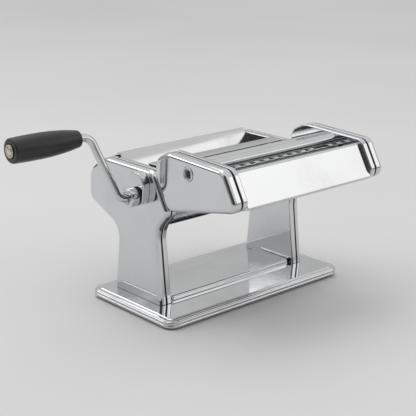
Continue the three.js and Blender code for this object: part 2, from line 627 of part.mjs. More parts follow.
function addCutterRollers() {
  const pinionPhase = 0;
  const stub = join(rodX(pinionAxis, stubRadius, -cutterFaceX - 0.4, cutterGearX0 + 1),
    cutterGear(pinionAxis, pinionTeeth, pinionPhase),
    rodX(pinionAxis, stubRadius - 2, cutterGearX1 - 1, -cutterInnerX - touchGap));
  const socket = squareBar(pinionAxis, socketSquare, -2 * faceX, -cutterFaceX + 9);
  add('cutter_pinion', cut(stub, socket), rollerSteel);
  const idlerPhase = meshedPhase(pinionAxis, pinionTeeth, pinionPhase, idlerAxis, idlerTeeth);
  add('cutter_idler', join(cutterGear(idlerAxis, idlerTeeth, idlerPhase),
    rodX(idlerAxis, 2, cutterGearX1 - 1, -cutterInnerX - touchGap, 10)), zinc);
  const onto = (from, teeth, phase, axis) => meshedPhase(from, teeth, phase, axis, pairTeeth);
  const wideFrontPhase = onto(pinionAxis, pinionTeeth, pinionPhase, wideFrontAxis);
  const wideBackPhase = onto(wideFrontAxis, pairTeeth, wideFrontPhase, wideBackAxis);
  const narrowBackPhase = onto(idlerAxis, idlerTeeth, idlerPhase, narrowBackAxis);
  const narrowFrontPhase = onto(narrowBackAxis, pairTeeth, narrowBackPhase, narrowFrontAxis);
  const disc = { width: discPitch / 2 - touchGap, radius: meshReach(pairTeeth, pairTeeth) / 2 + 0.5 };
  const first = -cutterInnerX + 8;
  add('wide_roller_front', cuttingRoller(wideFrontAxis, wideFrontPhase, { ...disc, first }), rollerSteel);
  add('wide_roller_back', cuttingRoller(wideBackAxis, wideBackPhase,
    { ...disc, first: first + discPitch / 2 }), rollerSteel);
  add('narrow_roller_back', cuttingRoller(narrowBackAxis, narrowBackPhase), rollerSteel);
  add('narrow_roller_front', cuttingRoller(narrowFrontAxis, narrowFrontPhase), rollerSteel);
}

// ---- Assembly -------------------------------------------------------------------------------

addBase();
addStands();
addCovers();
addRails();
addDriveRoller();
addDriveBoss();
addAdjustableRoller();
addCam();
addKnob();
addCrank();
addCutterCasing();
addCutterPlates();
addCutterRollers();

// The part's origin is the middle of the box round it, on the surface it stands on.
const bounds = new THREE.Box3().setFromObject(machine);
const middle = bounds.getCenter(new THREE.Vector3());
machine.position.set(-middle.x, -middle.y, -bounds.min.z);

export default machine;
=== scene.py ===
"""Looks for a hand-cranked pasta roller machine with a lift-off double cutter head.

Sizes are millimetres in the machine's own frame: X along the rollers with the crank at -X, Y from front to
back, Z up, and X = Y = 0 over the middle of the base. to_row() carries them into the row frame, in metres.
"""

import logging
import math
from dataclasses import dataclass, field
from enum import Enum
from typing import Iterable, Optional, Sequence

import bmesh
import bpy
import numpy as np
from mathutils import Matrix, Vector
from mathutils.geometry import tessellate_polygon


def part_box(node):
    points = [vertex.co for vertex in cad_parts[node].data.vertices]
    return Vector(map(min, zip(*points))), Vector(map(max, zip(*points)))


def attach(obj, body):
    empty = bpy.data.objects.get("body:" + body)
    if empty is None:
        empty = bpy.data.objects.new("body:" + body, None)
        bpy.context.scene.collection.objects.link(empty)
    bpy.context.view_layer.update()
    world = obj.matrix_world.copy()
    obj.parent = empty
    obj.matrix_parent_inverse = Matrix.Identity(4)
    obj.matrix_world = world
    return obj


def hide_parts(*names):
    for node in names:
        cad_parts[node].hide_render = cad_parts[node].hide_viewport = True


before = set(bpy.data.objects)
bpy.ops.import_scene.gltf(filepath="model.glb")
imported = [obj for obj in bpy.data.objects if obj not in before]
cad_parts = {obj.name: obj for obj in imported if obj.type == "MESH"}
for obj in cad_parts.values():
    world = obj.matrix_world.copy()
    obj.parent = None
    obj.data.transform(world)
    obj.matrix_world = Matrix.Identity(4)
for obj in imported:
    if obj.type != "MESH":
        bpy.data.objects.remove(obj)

LOG = logging.getLogger("pasta_machine")
Array = np.ndarray
Corner = tuple[float, ...]
MM = 0.001
BASE_LOW, BASE_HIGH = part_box("base_plate")
ORIGIN = np.array([(BASE_LOW.x + BASE_HIGH.x) / 2, (BASE_LOW.y + BASE_HIGH.y) / 2, 0.0])


# ---- Shader node groups ---------------------------------------------------------------------


class Nodes:
    """A short way to write a shader node tree."""

    def __init__(self, tree: bpy.types.NodeTree) -> None:
        """Starts on an empty or new tree."""
        self.tree = tree

    def add(self, kind: str, settings: Optional[dict] = None, **inputs: object) -> bpy.types.Node:
        """Adds a node.

        Args:
            kind: the node's bl_idname without "ShaderNode".
            settings: values for the node's own properties.
            inputs: socket values or source sockets, with "_" for a space in a socket's name.

        Returns:
            The new node.
        """
        node = self.tree.nodes.new("ShaderNode" + kind)
        for key, value in (settings or {}).items():
            setattr(node, key, value)
        for key, value in inputs.items():
            socket = node.inputs[int(key[1:])] if key[1:].isdigit() else node.inputs[key.replace("_", " ")]
            self.feed(socket, value)
        return node

    def feed(self, socket: bpy.types.NodeSocket, value: object) -> None:
        """Links a socket to another one, or sets its value."""
        if isinstance(value, bpy.types.NodeSocket):
            self.tree.links.new(value, socket)
        else:
            socket.default_value = value

    def math(self, operation: str, a: object, b: object = 0.5) -> bpy.types.NodeSocket:
        """The result of a Math node on two values."""
        return self.add("Math", {"operation": operation}, i0=a, i1=b).outputs[0]

    def spread(self, value: object, low: float, high: float, to_low: float,
               to_high: float) -> bpy.types.NodeSocket:
        """A value carried from one range to another and held inside it."""
        return self.add("MapRange", None, Value=value, From_Min=low, From_Max=high,
                        To_Min=to_low, To_Max=to_high).outputs[0]


class Effect(Enum):
    """The surface effects that several finishes share, each one node group."""

    WAVINESS = "pressed_sheet_waviness"
    HANDLING = "handling_marks"
    SCRATCHES = "fine_scratches"
    TURNING = "turning_lines"
    GRAIN = "moulded_grain"


def effect_group(effect: Effect) -> bpy.types.ShaderNodeTree:
    """Builds an effect's node group once.

    Each group reads Object coordinates and puts out one value, 0 to 1:
    waviness is slow noise, handling is patchy noise times finer noise, scratches are noise stretched a
    hundred times along one direction and cut to its crests, turning lines are noise of X alone, grain is
    fine noise.

    Args:
        effect: which effect.

    Returns:
        The node group, with inputs Scale and Contrast and the output Value.
    """
    if effect.value in bpy.data.node_groups:
        return bpy.data.node_groups[effect.value]
    tree = bpy.data.node_groups.new(effect.value, "ShaderNodeTree")
    for name, low in (("Scale", 1.0), ("Contrast", 1.0)):
        tree.interface.new_socket(name, in_out="INPUT", socket_type="NodeSocketFloat").default_value = low
    tree.interface.new_socket("Value", in_out="OUTPUT", socket_type="NodeSocketFloat")
    nodes = Nodes(tree)
    given = tree.nodes.new("NodeGroupInput").outputs
    result = tree.nodes.new("NodeGroupOutput").inputs["Value"]
    place = nodes.add("TexCoord").outputs["Object"]
    sized = nodes.add("VectorMath", {"operation": "SCALE"}, Vector=place, Scale=given["Scale"]).outputs[0]

    def noise(vector: bpy.types.NodeSocket, scale: float, detail: float = 2.0,
              rough: float = 0.5) -> bpy.types.NodeSocket:
        """Noise at a scale per metre."""
        return nodes.add("TexNoise", None, Vector=vector, Scale=scale, Detail=detail,
                         Roughness=rough).outputs[0]

    def stretched(scale: Corner, turn: Corner) -> bpy.types.NodeSocket:
        """The coordinates turned and stretched."""
        return nodes.add("Mapping", None, Vector=sized, Rotation=turn, Scale=scale).outputs[0]

    if effect is Effect.WAVINESS:
        value = nodes.math("ADD", nodes.math("MULTIPLY", noise(sized, 14.0, 1.0), 0.8),
                           nodes.math("MULTIPLY", noise(sized, 55.0, 1.0), 0.2))
    elif effect is Effect.HANDLING:
        patch = nodes.spread(noise(sized, 18.0, 3.0), 0.46, 0.7, 0.0, 1.0)
        value = nodes.math("MULTIPLY", patch,
                           nodes.spread(noise(sized, 160.0, 5.0, 0.65), 0.3, 0.75, 0.25, 1.0))
    elif effect is Effect.SCRATCHES:
        lines = [nodes.spread(noise(stretched((9.0, 900.0, 900.0), turn), 1.0, 2.0), 0.66, 0.72, 0.0, 1.0)
                 for turn in ((0.3, 0.2, 0.5), (1.1, 0.9, -0.6), (-0.5, 1.9, 1.4))]
        value = nodes.math("MAXIMUM", nodes.math("MAXIMUM", lines[0], lines[1]), lines[2])
    elif effect is Effect.TURNING:
        fine = noise(stretched((1600.0, 6.0, 6.0), (0.0, 0.0, 0.0)), 1.0, 3.0, 0.6)
        value = nodes.math("ADD", nodes.math("MULTIPLY", fine, 0.7),
                           nodes.math("MULTIPLY", noise(stretched((240.0, 14.0, 14.0), (0, 0, 0)), 1.0),
                                      0.3))
    else:
        value = nodes.math("ADD", nodes.math("MULTIPLY", noise(sized, 2600.0, 2.0), 0.6),
                           nodes.math("MULTIPLY", noise(sized, 700.0, 2.0), 0.4))
    is_relief = effect in (Effect.WAVINESS, Effect.TURNING, Effect.GRAIN)
    centred = nodes.math("SUBTRACT", value, 0.5 if is_relief else 0.0)
    scaled = nodes.math("MULTIPLY", centred, given["Contrast"])
    nodes.feed(result, nodes.math("ADD", scaled, 0.5) if is_relief else scaled)
    return tree


# ---- Finishes -------------------------------------------------------------------------------


@dataclass(frozen=True)
class Finish:
    """A surface finish: how one Principled shader is fed.

    Base colour runs from colour to marked with the handling mask, roughness from smooth to rough with the
    same mask and the scratches, and each relief is a height in millimetres for one effect.
    """

    name: str
    slot: str
    colour: Corner
    marked: Corner
    smooth: float
    rough: float
    metallic: float = 1.0
    mark_scale: float = 1.0
    scratch: float = 0.0
    waviness: float = 0.0
    turning: float = 0.0
    grain: float = 0.0
    coat: float = 0.0
    anisotropic: float = 0.0
    specular: float = 0.5

    def material(self) -> bpy.types.Material:
        """Builds the material once.

        Returns:
            The Blender material.
        """
        if self.name in bpy.data.materials:
            return bpy.data.materials[self.name]
        made = bpy.data.materials.new(self.name)
        made.use_nodes = True
        nodes = Nodes(made.node_tree)
        shader = made.node_tree.nodes["Principled BSDF"]
        shader.inputs["Metallic"].default_value = self.metallic
        shader.inputs["Coat Weight"].default_value = self.coat
        shader.inputs["Coat Roughness"].default_value = 0.25
        shader.inputs["Anisotropic"].default_value = self.anisotropic
        shader.inputs["Specular IOR Level"].default_value = self.specular
        marks = self.effect(nodes, Effect.HANDLING, self.mark_scale, 1.0)
        colour = nodes.add("Mix", {"data_type": "RGBA"}, Factor=marks)
        colour.inputs[6].default_value = (*self.colour, 1.0)
        colour.inputs[7].default_value = (*self.marked, 1.0)
        nodes.feed(shader.inputs["Base Color"], colour.outputs[2])
        wear = marks
        if self.scratch:
            lines = self.effect(nodes, Effect.SCRATCHES, 1.0, self.scratch)
            wear = nodes.math("MAXIMUM", marks, lines)
        nodes.feed(shader.inputs["Roughness"], nodes.spread(wear, 0.0, 1.0, self.smooth, self.rough))
        normal = None
        for effect, height, scale in ((Effect.WAVINESS, self.waviness, 1.0),
                                      (Effect.TURNING, self.turning, 1.0),
                                      (Effect.GRAIN, self.grain, 1.0)):
            if height:
                bump = nodes.add("Bump", None, Strength=1.0, Distance=height * MM,
                                 Height=self.effect(nodes, effect, scale, 1.0))
                if normal is not None:
                    nodes.feed(bump.inputs["Normal"], normal)
                normal = bump.outputs[0]
        if normal is not None:
            nodes.feed(shader.inputs["Normal"], normal)
        return made

    @staticmethod
    def effect(nodes: Nodes, effect: Effect, scale: float, contrast: float) -> bpy.types.NodeSocket:
        """One effect's value in a material."""
        group = nodes.add("Group", {"node_tree": effect_group(effect)})
        group.inputs["Scale"].default_value = scale
        group.inputs["Contrast"].default_value = contrast
        return group.outputs["Value"]


CHROME = Finish("chrome_plate", "chrome", (0.68, 0.685, 0.70), (0.60, 0.605, 0.62), 0.05, 0.17,
                scratch=0.25, waviness=0.05)
CHROME_SMALL = Finish("chrome_small_parts", "chrome", (0.66, 0.665, 0.675), (0.56, 0.565, 0.575), 0.06, 0.2,
                      mark_scale=3.0, scratch=0.3)
POLISHED = Finish("polished_sheet", "polished_steel", (0.64, 0.645, 0.65), (0.55, 0.555, 0.56), 0.12, 0.28,
                  scratch=0.4, waviness=0.04, anisotropic=0.35)
ROLLER = Finish("turned_roller_steel", "roller_steel", (0.58, 0.585, 0.59), (0.48, 0.485, 0.49), 0.2, 0.36,
                mark_scale=1.6, turning=0.012, anisotropic=0.5)
ZINC = Finish("dull_zinc", "zinc_steel", (0.50, 0.505, 0.51), (0.36, 0.365, 0.37), 0.34, 0.55,
              mark_scale=4.0, grain=0.02)
BRASS = Finish("satin_brass", "brass", (0.62, 0.53, 0.36), (0.42, 0.36, 0.25), 0.28, 0.5,
               mark_scale=9.0, turning=0.01)
PLASTIC = Finish("satin_black_plastic", "black_plastic", (0.012, 0.012, 0.0135), (0.022, 0.022, 0.024),
                 0.36, 0.5,
                 metallic=0.0, mark_scale=2.0, grain=0.012, coat=0.15)
# Matt black rubber for the feet and the collar seal ring; the seam bands of the stands and casings also take
# it, as painted shade in the seams.
RUBBER_AND_SEAM_SHADE = Finish("matt_rubber_and_seam_shade", "black_rubber", (0.014, 0.014, 0.014), (0.04, 0.04, 0.038), 0.65, 0.85,
                metallic=0.0, mark_scale=4.0, grain=0.03)
NYLON = Finish("natural_nylon", "nylon", (0.80, 0.78, 0.72), (0.70, 0.67, 0.60), 0.4, 0.55,
               metallic=0.0, mark_scale=5.0, grain=0.02)
PRINT = Finish("dial_print", "black_plastic", (0.02, 0.02, 0.02), (0.05, 0.05, 0.05), 0.5, 0.6,
               metallic=0.0)


# ---- Lines and surfaces ---------------------------------------------------------------------


@dataclass(frozen=True)
class Line:
    """A smooth line in a plane: its points, and the normals that point to its right."""

    points: Array
    normals: Array

    def offset(self, distance: float) -> Array:
        """The line moved along its normals."""
        return self.points + self.normals * distance


def rounded(corners: Sequence[Corner], closed: bool = True, steps: int = 8, hold: float = 0.4) -> Line:
    """A line through corners whose rounds are true arcs.

    A corner (a, b, ease) is replaced by the arc that touches both edges at the distance ease from it, whose
    radius is ease / tan(turn / 2). A point held a little before and after each arc keeps flat faces flat.

    Args:
        corners: (a, b, ease) or (a, b); a closed line is turned to run anticlockwise.
        closed: whether the last corner joins the first.
        steps: segments in each arc.
        hold: distance of the holding points from an arc's ends.

    Returns:
        The line.
    """
    given = [(*c, 0.0)[:3] for c in corners]
    at = np.array([c[:2] for c in given], float)
    if closed and np.sum(at[:, 0] * np.roll(at[:, 1], -1) - np.roll(at[:, 0], -1) * at[:, 1]) < 0:
        given, at = given[::-1], at[::-1]
    count = len(at)
    points, normals = [], []
    for i in range(count):
        if not closed and i in (0, count - 1):
            way = at[1] - at[0] if i == 0 else at[-1] - at[-2]
            way = way / np.linalg.norm(way)
            points.append(at[i][None])
            normals.append(np.array([[way[1], -way[0]]]))
            continue
        before, after = at[i] - at[i - 1], at[(i + 1) % count] - at[i]
        room = [np.linalg.norm(before), np.linalg.norm(after)]
        a, b = before / room[0], after / room[1]
        turn = math.atan2(a[0] * b[1] - a[1] * b[0], a @ b)
        right_a, right_b = np.array([a[1], -a[0]]), np.array([b[1], -b[0]])
        ease = given[i][2]
        if ease <= 0 or abs(turn) < 1e-4:
            points.append(at[i][None])
            normals.append(((right_a + right_b) / (1 + right_a @ right_b))[None])
            continue
        radius = ease / math.tan(abs(turn) / 2)
        side = math.copysign(1.0, turn)
        start = at[i] - a * ease
        centre = start - right_a * side * radius
        phi = np.linspace(0, turn, steps + 1)
        fan = np.stack([right_a[0] * np.cos(phi) - right_a[1] * np.sin(phi),
                        right_a[0] * np.sin(phi) + right_a[1] * np.cos(phi)], 1)
        keep = min(hold, 0.2 * room[0], 0.2 * room[1])
        points += [(start - a * keep)[None], centre + fan * side * radius,
                   (at[i] + b * (ease + keep))[None]]
        normals += [right_a[None], fan, right_b[None]]
    return Line(np.vstack(points), np.vstack(normals))


def circle(centre: Corner, radius: float, sides: int = 40) -> Line:
    """A circle as a closed line: centre + radius (cos, sin)."""
    angle = np.arange(sides) * 2 * math.pi / sides
    fan = np.stack([np.cos(angle), np.sin(angle)], 1)
    return Line(np.array(centre[:2]) + fan * radius, fan)


def to_row(points: Array) -> Array:
    """Machine-frame millimetres as row-frame metres."""
    return points * MM + ORIGIN


def link_object(made: bpy.types.Object) -> None:
    """Puts an object in the scene."""
    bpy.context.scene.collection.objects.link(made)


class Skin:
    """Gathers the grids and lids of one mesh."""

    def __init__(self) -> None:
        """Starts empty."""
        self.points: list[Array] = []
        self.faces: list[list[int]] = []
        self.count = 0

    def sheet(self, grid: Array, wrap_rows: bool = False, wrap_columns: bool = True) -> "Skin":
        """Adds a grid of points as quads.

        Args:
            grid: rows x columns x 3.
            wrap_rows: whether the last row joins the first.
            wrap_columns: whether the last column joins the first.

        Returns:
            This skin.
        """
        rows, columns = grid.shape[:2]
        index = np.arange(rows * columns).reshape(rows, columns) + self.count
        if wrap_rows:
            index = np.vstack([index, index[:1]])
        if wrap_columns:
            index = np.hstack([index, index[:, :1]])
        quads = np.stack([index[:-1, :-1], index[1:, :-1], index[1:, 1:], index[:-1, 1:]], -1)
        self.faces += quads.reshape(-1, 4).tolist()
        self.points.append(grid.reshape(-1, 3))
        self.count += rows * columns
        return self

    def lid(self, *loops: Array) -> "Skin":
        """Adds a flat lid with an outer loop and any holes in it, each n x 3."""
        triangles = tessellate_polygon([[Vector(p) for p in loop] for loop in loops])
        joined = np.vstack(loops)
        self.faces += [[i + self.count for i in t] for t in triangles]
        self.points.append(joined)
        self.count += len(joined)
        return self

    def build(self, name: str, crease: float = 38.0) -> bpy.types.Object:
        """Makes the mesh object in the row frame, merged, facing out, and smooth up to the crease angle."""
        data = bpy.data.meshes.new(name)
        data.from_pydata(to_row(np.vstack(self.points)).tolist(), [], self.faces)
        work = bmesh.new()
        work.from_mesh(data)
        bmesh.ops.remove_doubles(work, verts=work.verts, dist=2e-6)
        bmesh.ops.dissolve_degenerate(work, edges=work.edges, dist=1e-7)
        bmesh.ops.recalc_face_normals(work, faces=work.faces)
        work.to_mesh(data)
        work.free()
        data.shade_smooth()
        data.set_sharp_from_angle(angle=math.radians(crease))
        made = bpy.data.objects.new(name, data)
        link_object(made)
        return made


def place_piece(piece: bpy.types.Object, finish: Finish, body: str, *stands_for: str) -> bpy.types.Object:
    """Dresses a piece, rides it on its body and hides the CAD nodes that it stands for."""
    piece.data.materials.clear()
    piece.data.materials.append(finish.material())
    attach(piece, body)
    if stands_for:
        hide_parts(*stands_for)
    LOG.info("%s: %d faces on %s", piece.name, len(piece.data.polygons), body)
    return piece


def keep_node(finish: Finish, *names: str) -> None:
    """Gives CAD nodes that stay in view their finish."""
    for name in names:
        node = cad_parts[name]
        node.data.materials.clear()
        node.data.materials.append(finish.material())
        LOG.info("%s: kept from the frame", name)


class Axis(Enum):
    """The axis that a turned piece is turned on."""

    X = (0, 1, 2)
    Z = (2, 0, 1)


def turned_grid(centre: Corner, line: Line, sides: int, axis: Axis = Axis.X,
                flutes: Optional[Array] = None) -> Array:
    """The surface swept by a profile (along, radius) turned about an axis.

    Point (i, j) lies at along_i on the axis and at radius_i times (cos, sin) of j turns / sides across it.
    flutes, rows x sides, is added to the radius.

    Args:
        centre: where the axis crosses the plane across it, as (first, second) of the other two axes.
        line: the profile.
        sides: points round the axis.
        axis: the axis.
        flutes: radius changes.

    Returns:
        The grid.
    """
    angle = np.arange(sides) * 2 * math.pi / sides
    along = np.repeat(line.points[:, :1], sides, 1)
    radius = np.repeat(line.points[:, 1:2], sides, 1) + (0 if flutes is None else flutes)
    grid = np.empty((*along.shape, 3))
    grid[..., axis.value[0]] = along
    grid[..., axis.value[1]] = centre[0] + radius * np.cos(angle)
    grid[..., axis.value[2]] = centre[1] + radius * np.sin(angle)
    return grid


def turned(name: str, centre: Corner, corners: Sequence[Corner], sides: int = 64, axis: Axis = Axis.X,
           closed: bool = True, steps: int = 4) -> bpy.types.Object:
    """A turned piece from a profile of (along, radius, ease) corners.

    Args:
        name: the piece's name.
        centre: where the axis lies.
        corners: the profile; an open one starts and ends on the axis.
        sides: points round the axis.
        axis: the axis.
        closed: whether the profile is a ring, as on a tube.
        steps: segments in each rounded corner.

    Returns:
        The object.
    """
    line = rounded(corners, closed, steps, 0.25)
    return Skin().sheet(turned_grid(centre, line, sides, axis), wrap_rows=closed).build(name)


def ring_at(line: Line, offset: float, x: float, floor: float = -1e3) -> Array:
    """The line, offset and laid in the plane at x, with nothing lower than floor."""
    flat = line.offset(offset)
    return np.stack([np.full(len(flat), x), flat[:, 0], np.maximum(flat[:, 1], floor)], 1)


def lofted(line: Line, stations: Sequence[Corner], holes: Sequence[Line] = (),
           mirror: bool = False) -> Skin:
    """A closed solid whose rings are offsets of one line at given x, closed by a lid at each end.

    Ring k is the line moved out by its offset, at its x, and cut off at its floor. A hole runs through both
    lids and has a wall between them.

    Args:
        line: the outline in (y, z).
        stations: (offset, x) or (offset, x, floor) of each ring.
        holes: outlines of holes through both lids.
        mirror: whether x is negated.

    Returns:
        The skin.
    """
    rings = np.stack([ring_at(line, *s) for s in stations])
    ends = [stations[0][1], stations[-1][1]]
    walls = [np.stack([ring_at(h, 0, x) for x in ends]) for h in holes]
    if mirror:
        for grid in (rings, *walls):
            grid[..., 0] *= -1
    skin = Skin().sheet(rings)
    for wall in walls:
        skin.sheet(wall)
    skin.lid(rings[0], *(w[0] for w in walls)).lid(rings[-1], *(w[1] for w in walls))
    return skin


def prism(name: str, line: Line, x0: float, x1: float, ease: float = 0.3,
          steps: int = 3) -> bpy.types.Object:
    """A line carried from x0 to x1 with its end edges rounded by ease."""
    turn = np.linspace(0, math.pi / 2, steps + 1)
    first = [(-ease * (1 - math.sin(t)), x0 + ease * (1 - math.cos(t))) for t in turn]
    hold = [(-ease - 0.15, x0)]
    last = [(o, x0 + x1 - x) for o, x in (hold + first)[::-1]]
    return lofted(line, hold + first + [(0.0, x0 + ease + 0.3), (0.0, x1 - ease - 0.3)] + last).build(name)


def sheet_line(corners: Sequence[Corner], wall: float, steps: int = 6) -> Line:
    """The closed outline of a folded sheet with round edges.

    It is the sheet's middle line moved half the wall to each side.
    """
    middle = rounded(corners, closed=False, steps=steps, hold=0.5)
    half = wall / 2
    turn = np.linspace(0, math.pi, 7)[1:-1]

    def nose(end: Array, right: Array) -> tuple[Array, Array]:
        """The half circle round a sheet's edge, from its right side to its left."""
        ahead = np.array([-right[1], right[0]])
        fan = np.outer(np.cos(turn), right) + np.outer(np.sin(turn), ahead)
        return end + fan * half, fan

    far = nose(middle.points[-1], middle.normals[-1])
    near = nose(middle.points[0], -middle.normals[0])
    return Line(np.vstack([middle.offset(half), far[0], middle.offset(-half)[::-1], near[0]]),
                np.vstack([middle.normals, far[1], -middle.normals[::-1], near[1]]))


# ---- The machine's shared measures ----------------------------------------------------------


@dataclass(frozen=True)
class Layout:
    """Measures that more than one sub-assembly uses."""

    face_x: float = 100.0
    seam_x: float = 93.0
    inner_x: float = 86.0
    foot_z: float = 10.5
    drive: Corner = (-0.7, 119.5)
    adjust: Corner = (33.6, 119.5)
    pivot: Corner = (32.5, 119.5)
    roller_radius: float = 16.0
    shaft_radius: float = 6.0
    head_front: float = 21.3
    top_z: float = 141.0
    bevel: float = 4.5
    wall: float = 1.5
    plate: float = 1.2
    gap: float = 0.3

    def on_lean(self, offset: float, z: float) -> Corner:
        """The point at height z on the 60-degree line that lies offset in front of the drive axis."""
        y, z0 = self.drive
        rise = z - z0 - offset * 0.5
        return (y - offset * math.sqrt(0.75) + rise / math.sqrt(3), z)


LAYOUT = Layout()


def shell_stations(face: float, depth: float, bevel: float, wall: float, floor: float = -1e3,
                   lip: float = 0.55,
                   steps: int = 9) -> list[Corner]:
    """Rings of a pressed cup whose face is at x = face and whose mouth is at face + depth.

    The face turns into the side along a quarter circle of radius bevel, the lip is rounded, and the inside
    follows the outside a wall thickness away.

    Args:
        face: x of the outer face.
        depth: from face to lip.
        bevel: radius of the edge round.
        wall: sheet thickness.
        floor: height below which everything is cut off.
        lip: radius of the lip's outer round.
        steps: segments of the edge round.

    Returns:
        (offset, x, floor) for each ring.
    """
    turn = np.linspace(0, math.pi / 2, steps + 1)
    quarter = np.linspace(0, math.pi / 2, 5)
    side = [(bevel * math.sin(t), face + bevel * (1 - math.cos(t)), floor) for t in turn]
    mouth = face + depth
    edge = [(bevel - lip * (1 - math.cos(t)), mouth - lip * (1 - math.sin(t)), floor) for t in quarter]
    raised = floor + wall
    inner = [((bevel - wall) * math.sin(t), face + bevel - (bevel - wall) * math.cos(t),
              raised) for t in turn[::-1]]
    return [(-0.8, face, floor), (-0.2, face, floor)] + side + [(bevel, face + bevel + 0.3, floor),
            (bevel, mouth - lip - 0.3, floor)] + edge + [(bevel - wall, mouth, raised)] + inner \
        + [(-0.8, face + wall, raised)]


def inner_stations(seam: float, inner: float, bevel: float, small: float, wall: float, floor: float = -1e3,
                   lip: float = 0.5) -> list[Corner]:
    """Rings of the inner pressed cup, open at x = seam, with its face at x = inner and a small edge round.

    Args:
        seam: x of the mouth.
        inner: x of the face.
        bevel: offset of the side wall.
        small: radius of the edge round.
        wall: sheet thickness.
        floor: height below which everything is cut off.
        lip: radius of the lip's round.

    Returns:
        (offset, x, floor) for each ring.
    """
    turn = np.linspace(0, math.pi / 2, 6)
    raised = floor + wall
    edge = [(bevel - lip * (1 - math.sin(t)), seam + lip * (1 - math.cos(t)), floor) for t in turn]
    side = [(bevel - small * (1 - math.cos(t)), inner - small * (1 - math.sin(t)), floor) for t in turn]
    face = [(bevel - small - 0.3, inner, floor), (bevel - small - 1.2, inner, floor)]
    back = [(bevel - small - 1.2, inner - wall, raised), (bevel - wall, inner - wall, raised),
            (bevel - wall, seam, raised)]
    wall_line = [(bevel, inner - small - 0.2, floor), (bevel, seam + lip + 0.2, floor)]
    return face[::-1] + side[::-1] + wall_line + edge[::-1] + back[::-1]


# ---- Base -----------------------------------------------------------------------------------


@dataclass
class Base:
    """The pressed base plate with its rolled rim and raised middle, and four rubber feet."""

    half_width: float = 120.0
    half_depth: float = 65.0
    corner: float = 12.0
    bottom: float = 2.0
    top: float = 10.2
    rim_top: float = 9.5
    rim_width: float = 5.6
    plateau_top: float = 15.0
    plateau: Corner = (-84.7, 84.7, -22.5, 29.0)
    plateau_corner: float = 5.0
    foot_radius: float = 9.0
    foot_inset: float = 16.0

    def ring(self, inset: float, z: float, on_plateau: bool = False) -> Array:
        """A rounded rectangle set in from the base's edge, or from the raised middle's, at height z."""
        if on_plateau:
            x0, x1, y0, y1 = self.plateau
            corner = max(self.plateau_corner - inset, 0.8)
        else:
            x0, x1, y0, y1 = -self.half_width, self.half_width, -self.half_depth, self.half_depth
            corner = max(self.corner - inset, 1.0)
        x0, x1, y0, y1 = x0 + inset, x1 - inset, y0 + inset, y1 - inset
        line = rounded([(x0, y0, corner), (x1, y0, corner), (x1, y1, corner), (x0, y1, corner)], steps=10)
        return np.column_stack([line.points, np.full(len(line.points), z)])

    def rim_profile(self) -> Array:
        """The rim from its bottom edge to the flange, as (inset, z).

        Two beads lie one above the other with a groove between them, each a sine bulge; above them the rim is
        flat, and its inner edge climbs a smooth step to the flange.
        """
        z = np.linspace(self.bottom, self.rim_top - 1.2, 25)
        share = (z - self.bottom) / (z[-1] - z[0])
        bead = 0.95 * (1 - np.abs(np.sin(np.pi * np.clip(share * 2.0, 0, 2))) ** 0.55)
        lower = np.column_stack([np.where(share < 0.02, 0.9, bead), z])
        turn = np.linspace(0, math.pi / 2, 7)[1:]
        shoulder = np.column_stack([lower[-1, 0] + 1.4 * (1 - np.cos(turn)), z[-1] + 1.2 * np.sin(turn)])
        step = np.linspace(0, 1, 9)
        climb = np.column_stack([self.rim_width + 0.9 * step,
                                 self.rim_top + (self.top - self.rim_top) * (3 * step**2 - 2 * step**3)])
        groove = np.array([[self.rim_width - 1.3, self.rim_top], [self.rim_width - 0.9, self.rim_top - 0.1],
                           [self.rim_width - 0.5, self.rim_top - 0.35],
                           [self.rim_width - 0.2, self.rim_top - 0.25]])
        return np.vstack([lower, shoulder, [[self.rim_width - 1.9, self.rim_top]], groove, climb,
                          [[self.rim_width + 1.4, self.top]]])

    def plateau_profile(self, drop: float, inset: float) -> Array:
        """The step up to the raised middle as (inset, z): a small foot round, a wall and a top round."""
        turn = np.linspace(0, math.pi / 2, 7)
        foot, crown = 0.9, 1.5
        low = np.column_stack([inset - 0.2 - foot * (1 - np.sin(turn)),
                               self.top - drop + foot * (1 - np.cos(turn))])
        high = np.column_stack([inset + crown * (1 - np.cos(turn)),
                                self.plateau_top - drop - crown * (1 - np.sin(turn))])
        return np.vstack([[[inset - 1.7, self.top - drop]], low, high,
                          [[inset + crown + 0.4, self.plateau_top - drop]]])

    def build(self) -> None:
        """Makes the base plate and its feet."""
        wall = LAYOUT.wall
        rim = self.rim_profile()
        outer = [self.ring(inset, z) for inset, z in rim]
        outer += [self.ring(inset, z, True) for inset, z in self.plateau_profile(0.0, 0.0)]
        under = [self.ring(inset, z) for inset, z in (
            (1.6, self.bottom), (2.2, self.bottom + 0.1), (2.4, self.bottom + 0.6),
            (2.4, self.top - wall - 0.9),
            (3.2, self.top - wall - 0.2), (4.2, self.top - wall), (7.0, self.top - wall))]
        under += [self.ring(inset, z, True) for inset, z in self.plateau_profile(wall, wall)]
        skin = Skin().sheet(np.stack(under[::-1] + outer))
        skin.lid(outer[-1]).lid(under[-1])
        place_piece(skin.build("base_pressing"), CHROME, "machine", "base_plate")
        for side, sx in (("near", -1), ("far", 1)):
            for end, sy in (("front", -1), ("back", 1)):
                centre = (sx * (self.half_width - self.foot_inset),
                          sy * (self.half_depth - self.foot_inset))
                node = f"foot_{end}_{side}"
                foot = turned(f"rubber_{node}", centre, [
                    (0.5, 0), (0.5, 3.2, 0.4), (0.0, 4.0, 0.3), (0.0, self.foot_radius - 1.0, 0.9),
                    (1.6, self.foot_radius, 0.6), (8.1, self.foot_radius - 1.0, 0.5), (8.1, 0)],
                    48, Axis.Z, closed=False)
                place_piece(foot, RUBBER_AND_SEAM_SHADE, "machine", node)


# ---- Stands ---------------------------------------------------------------------------------


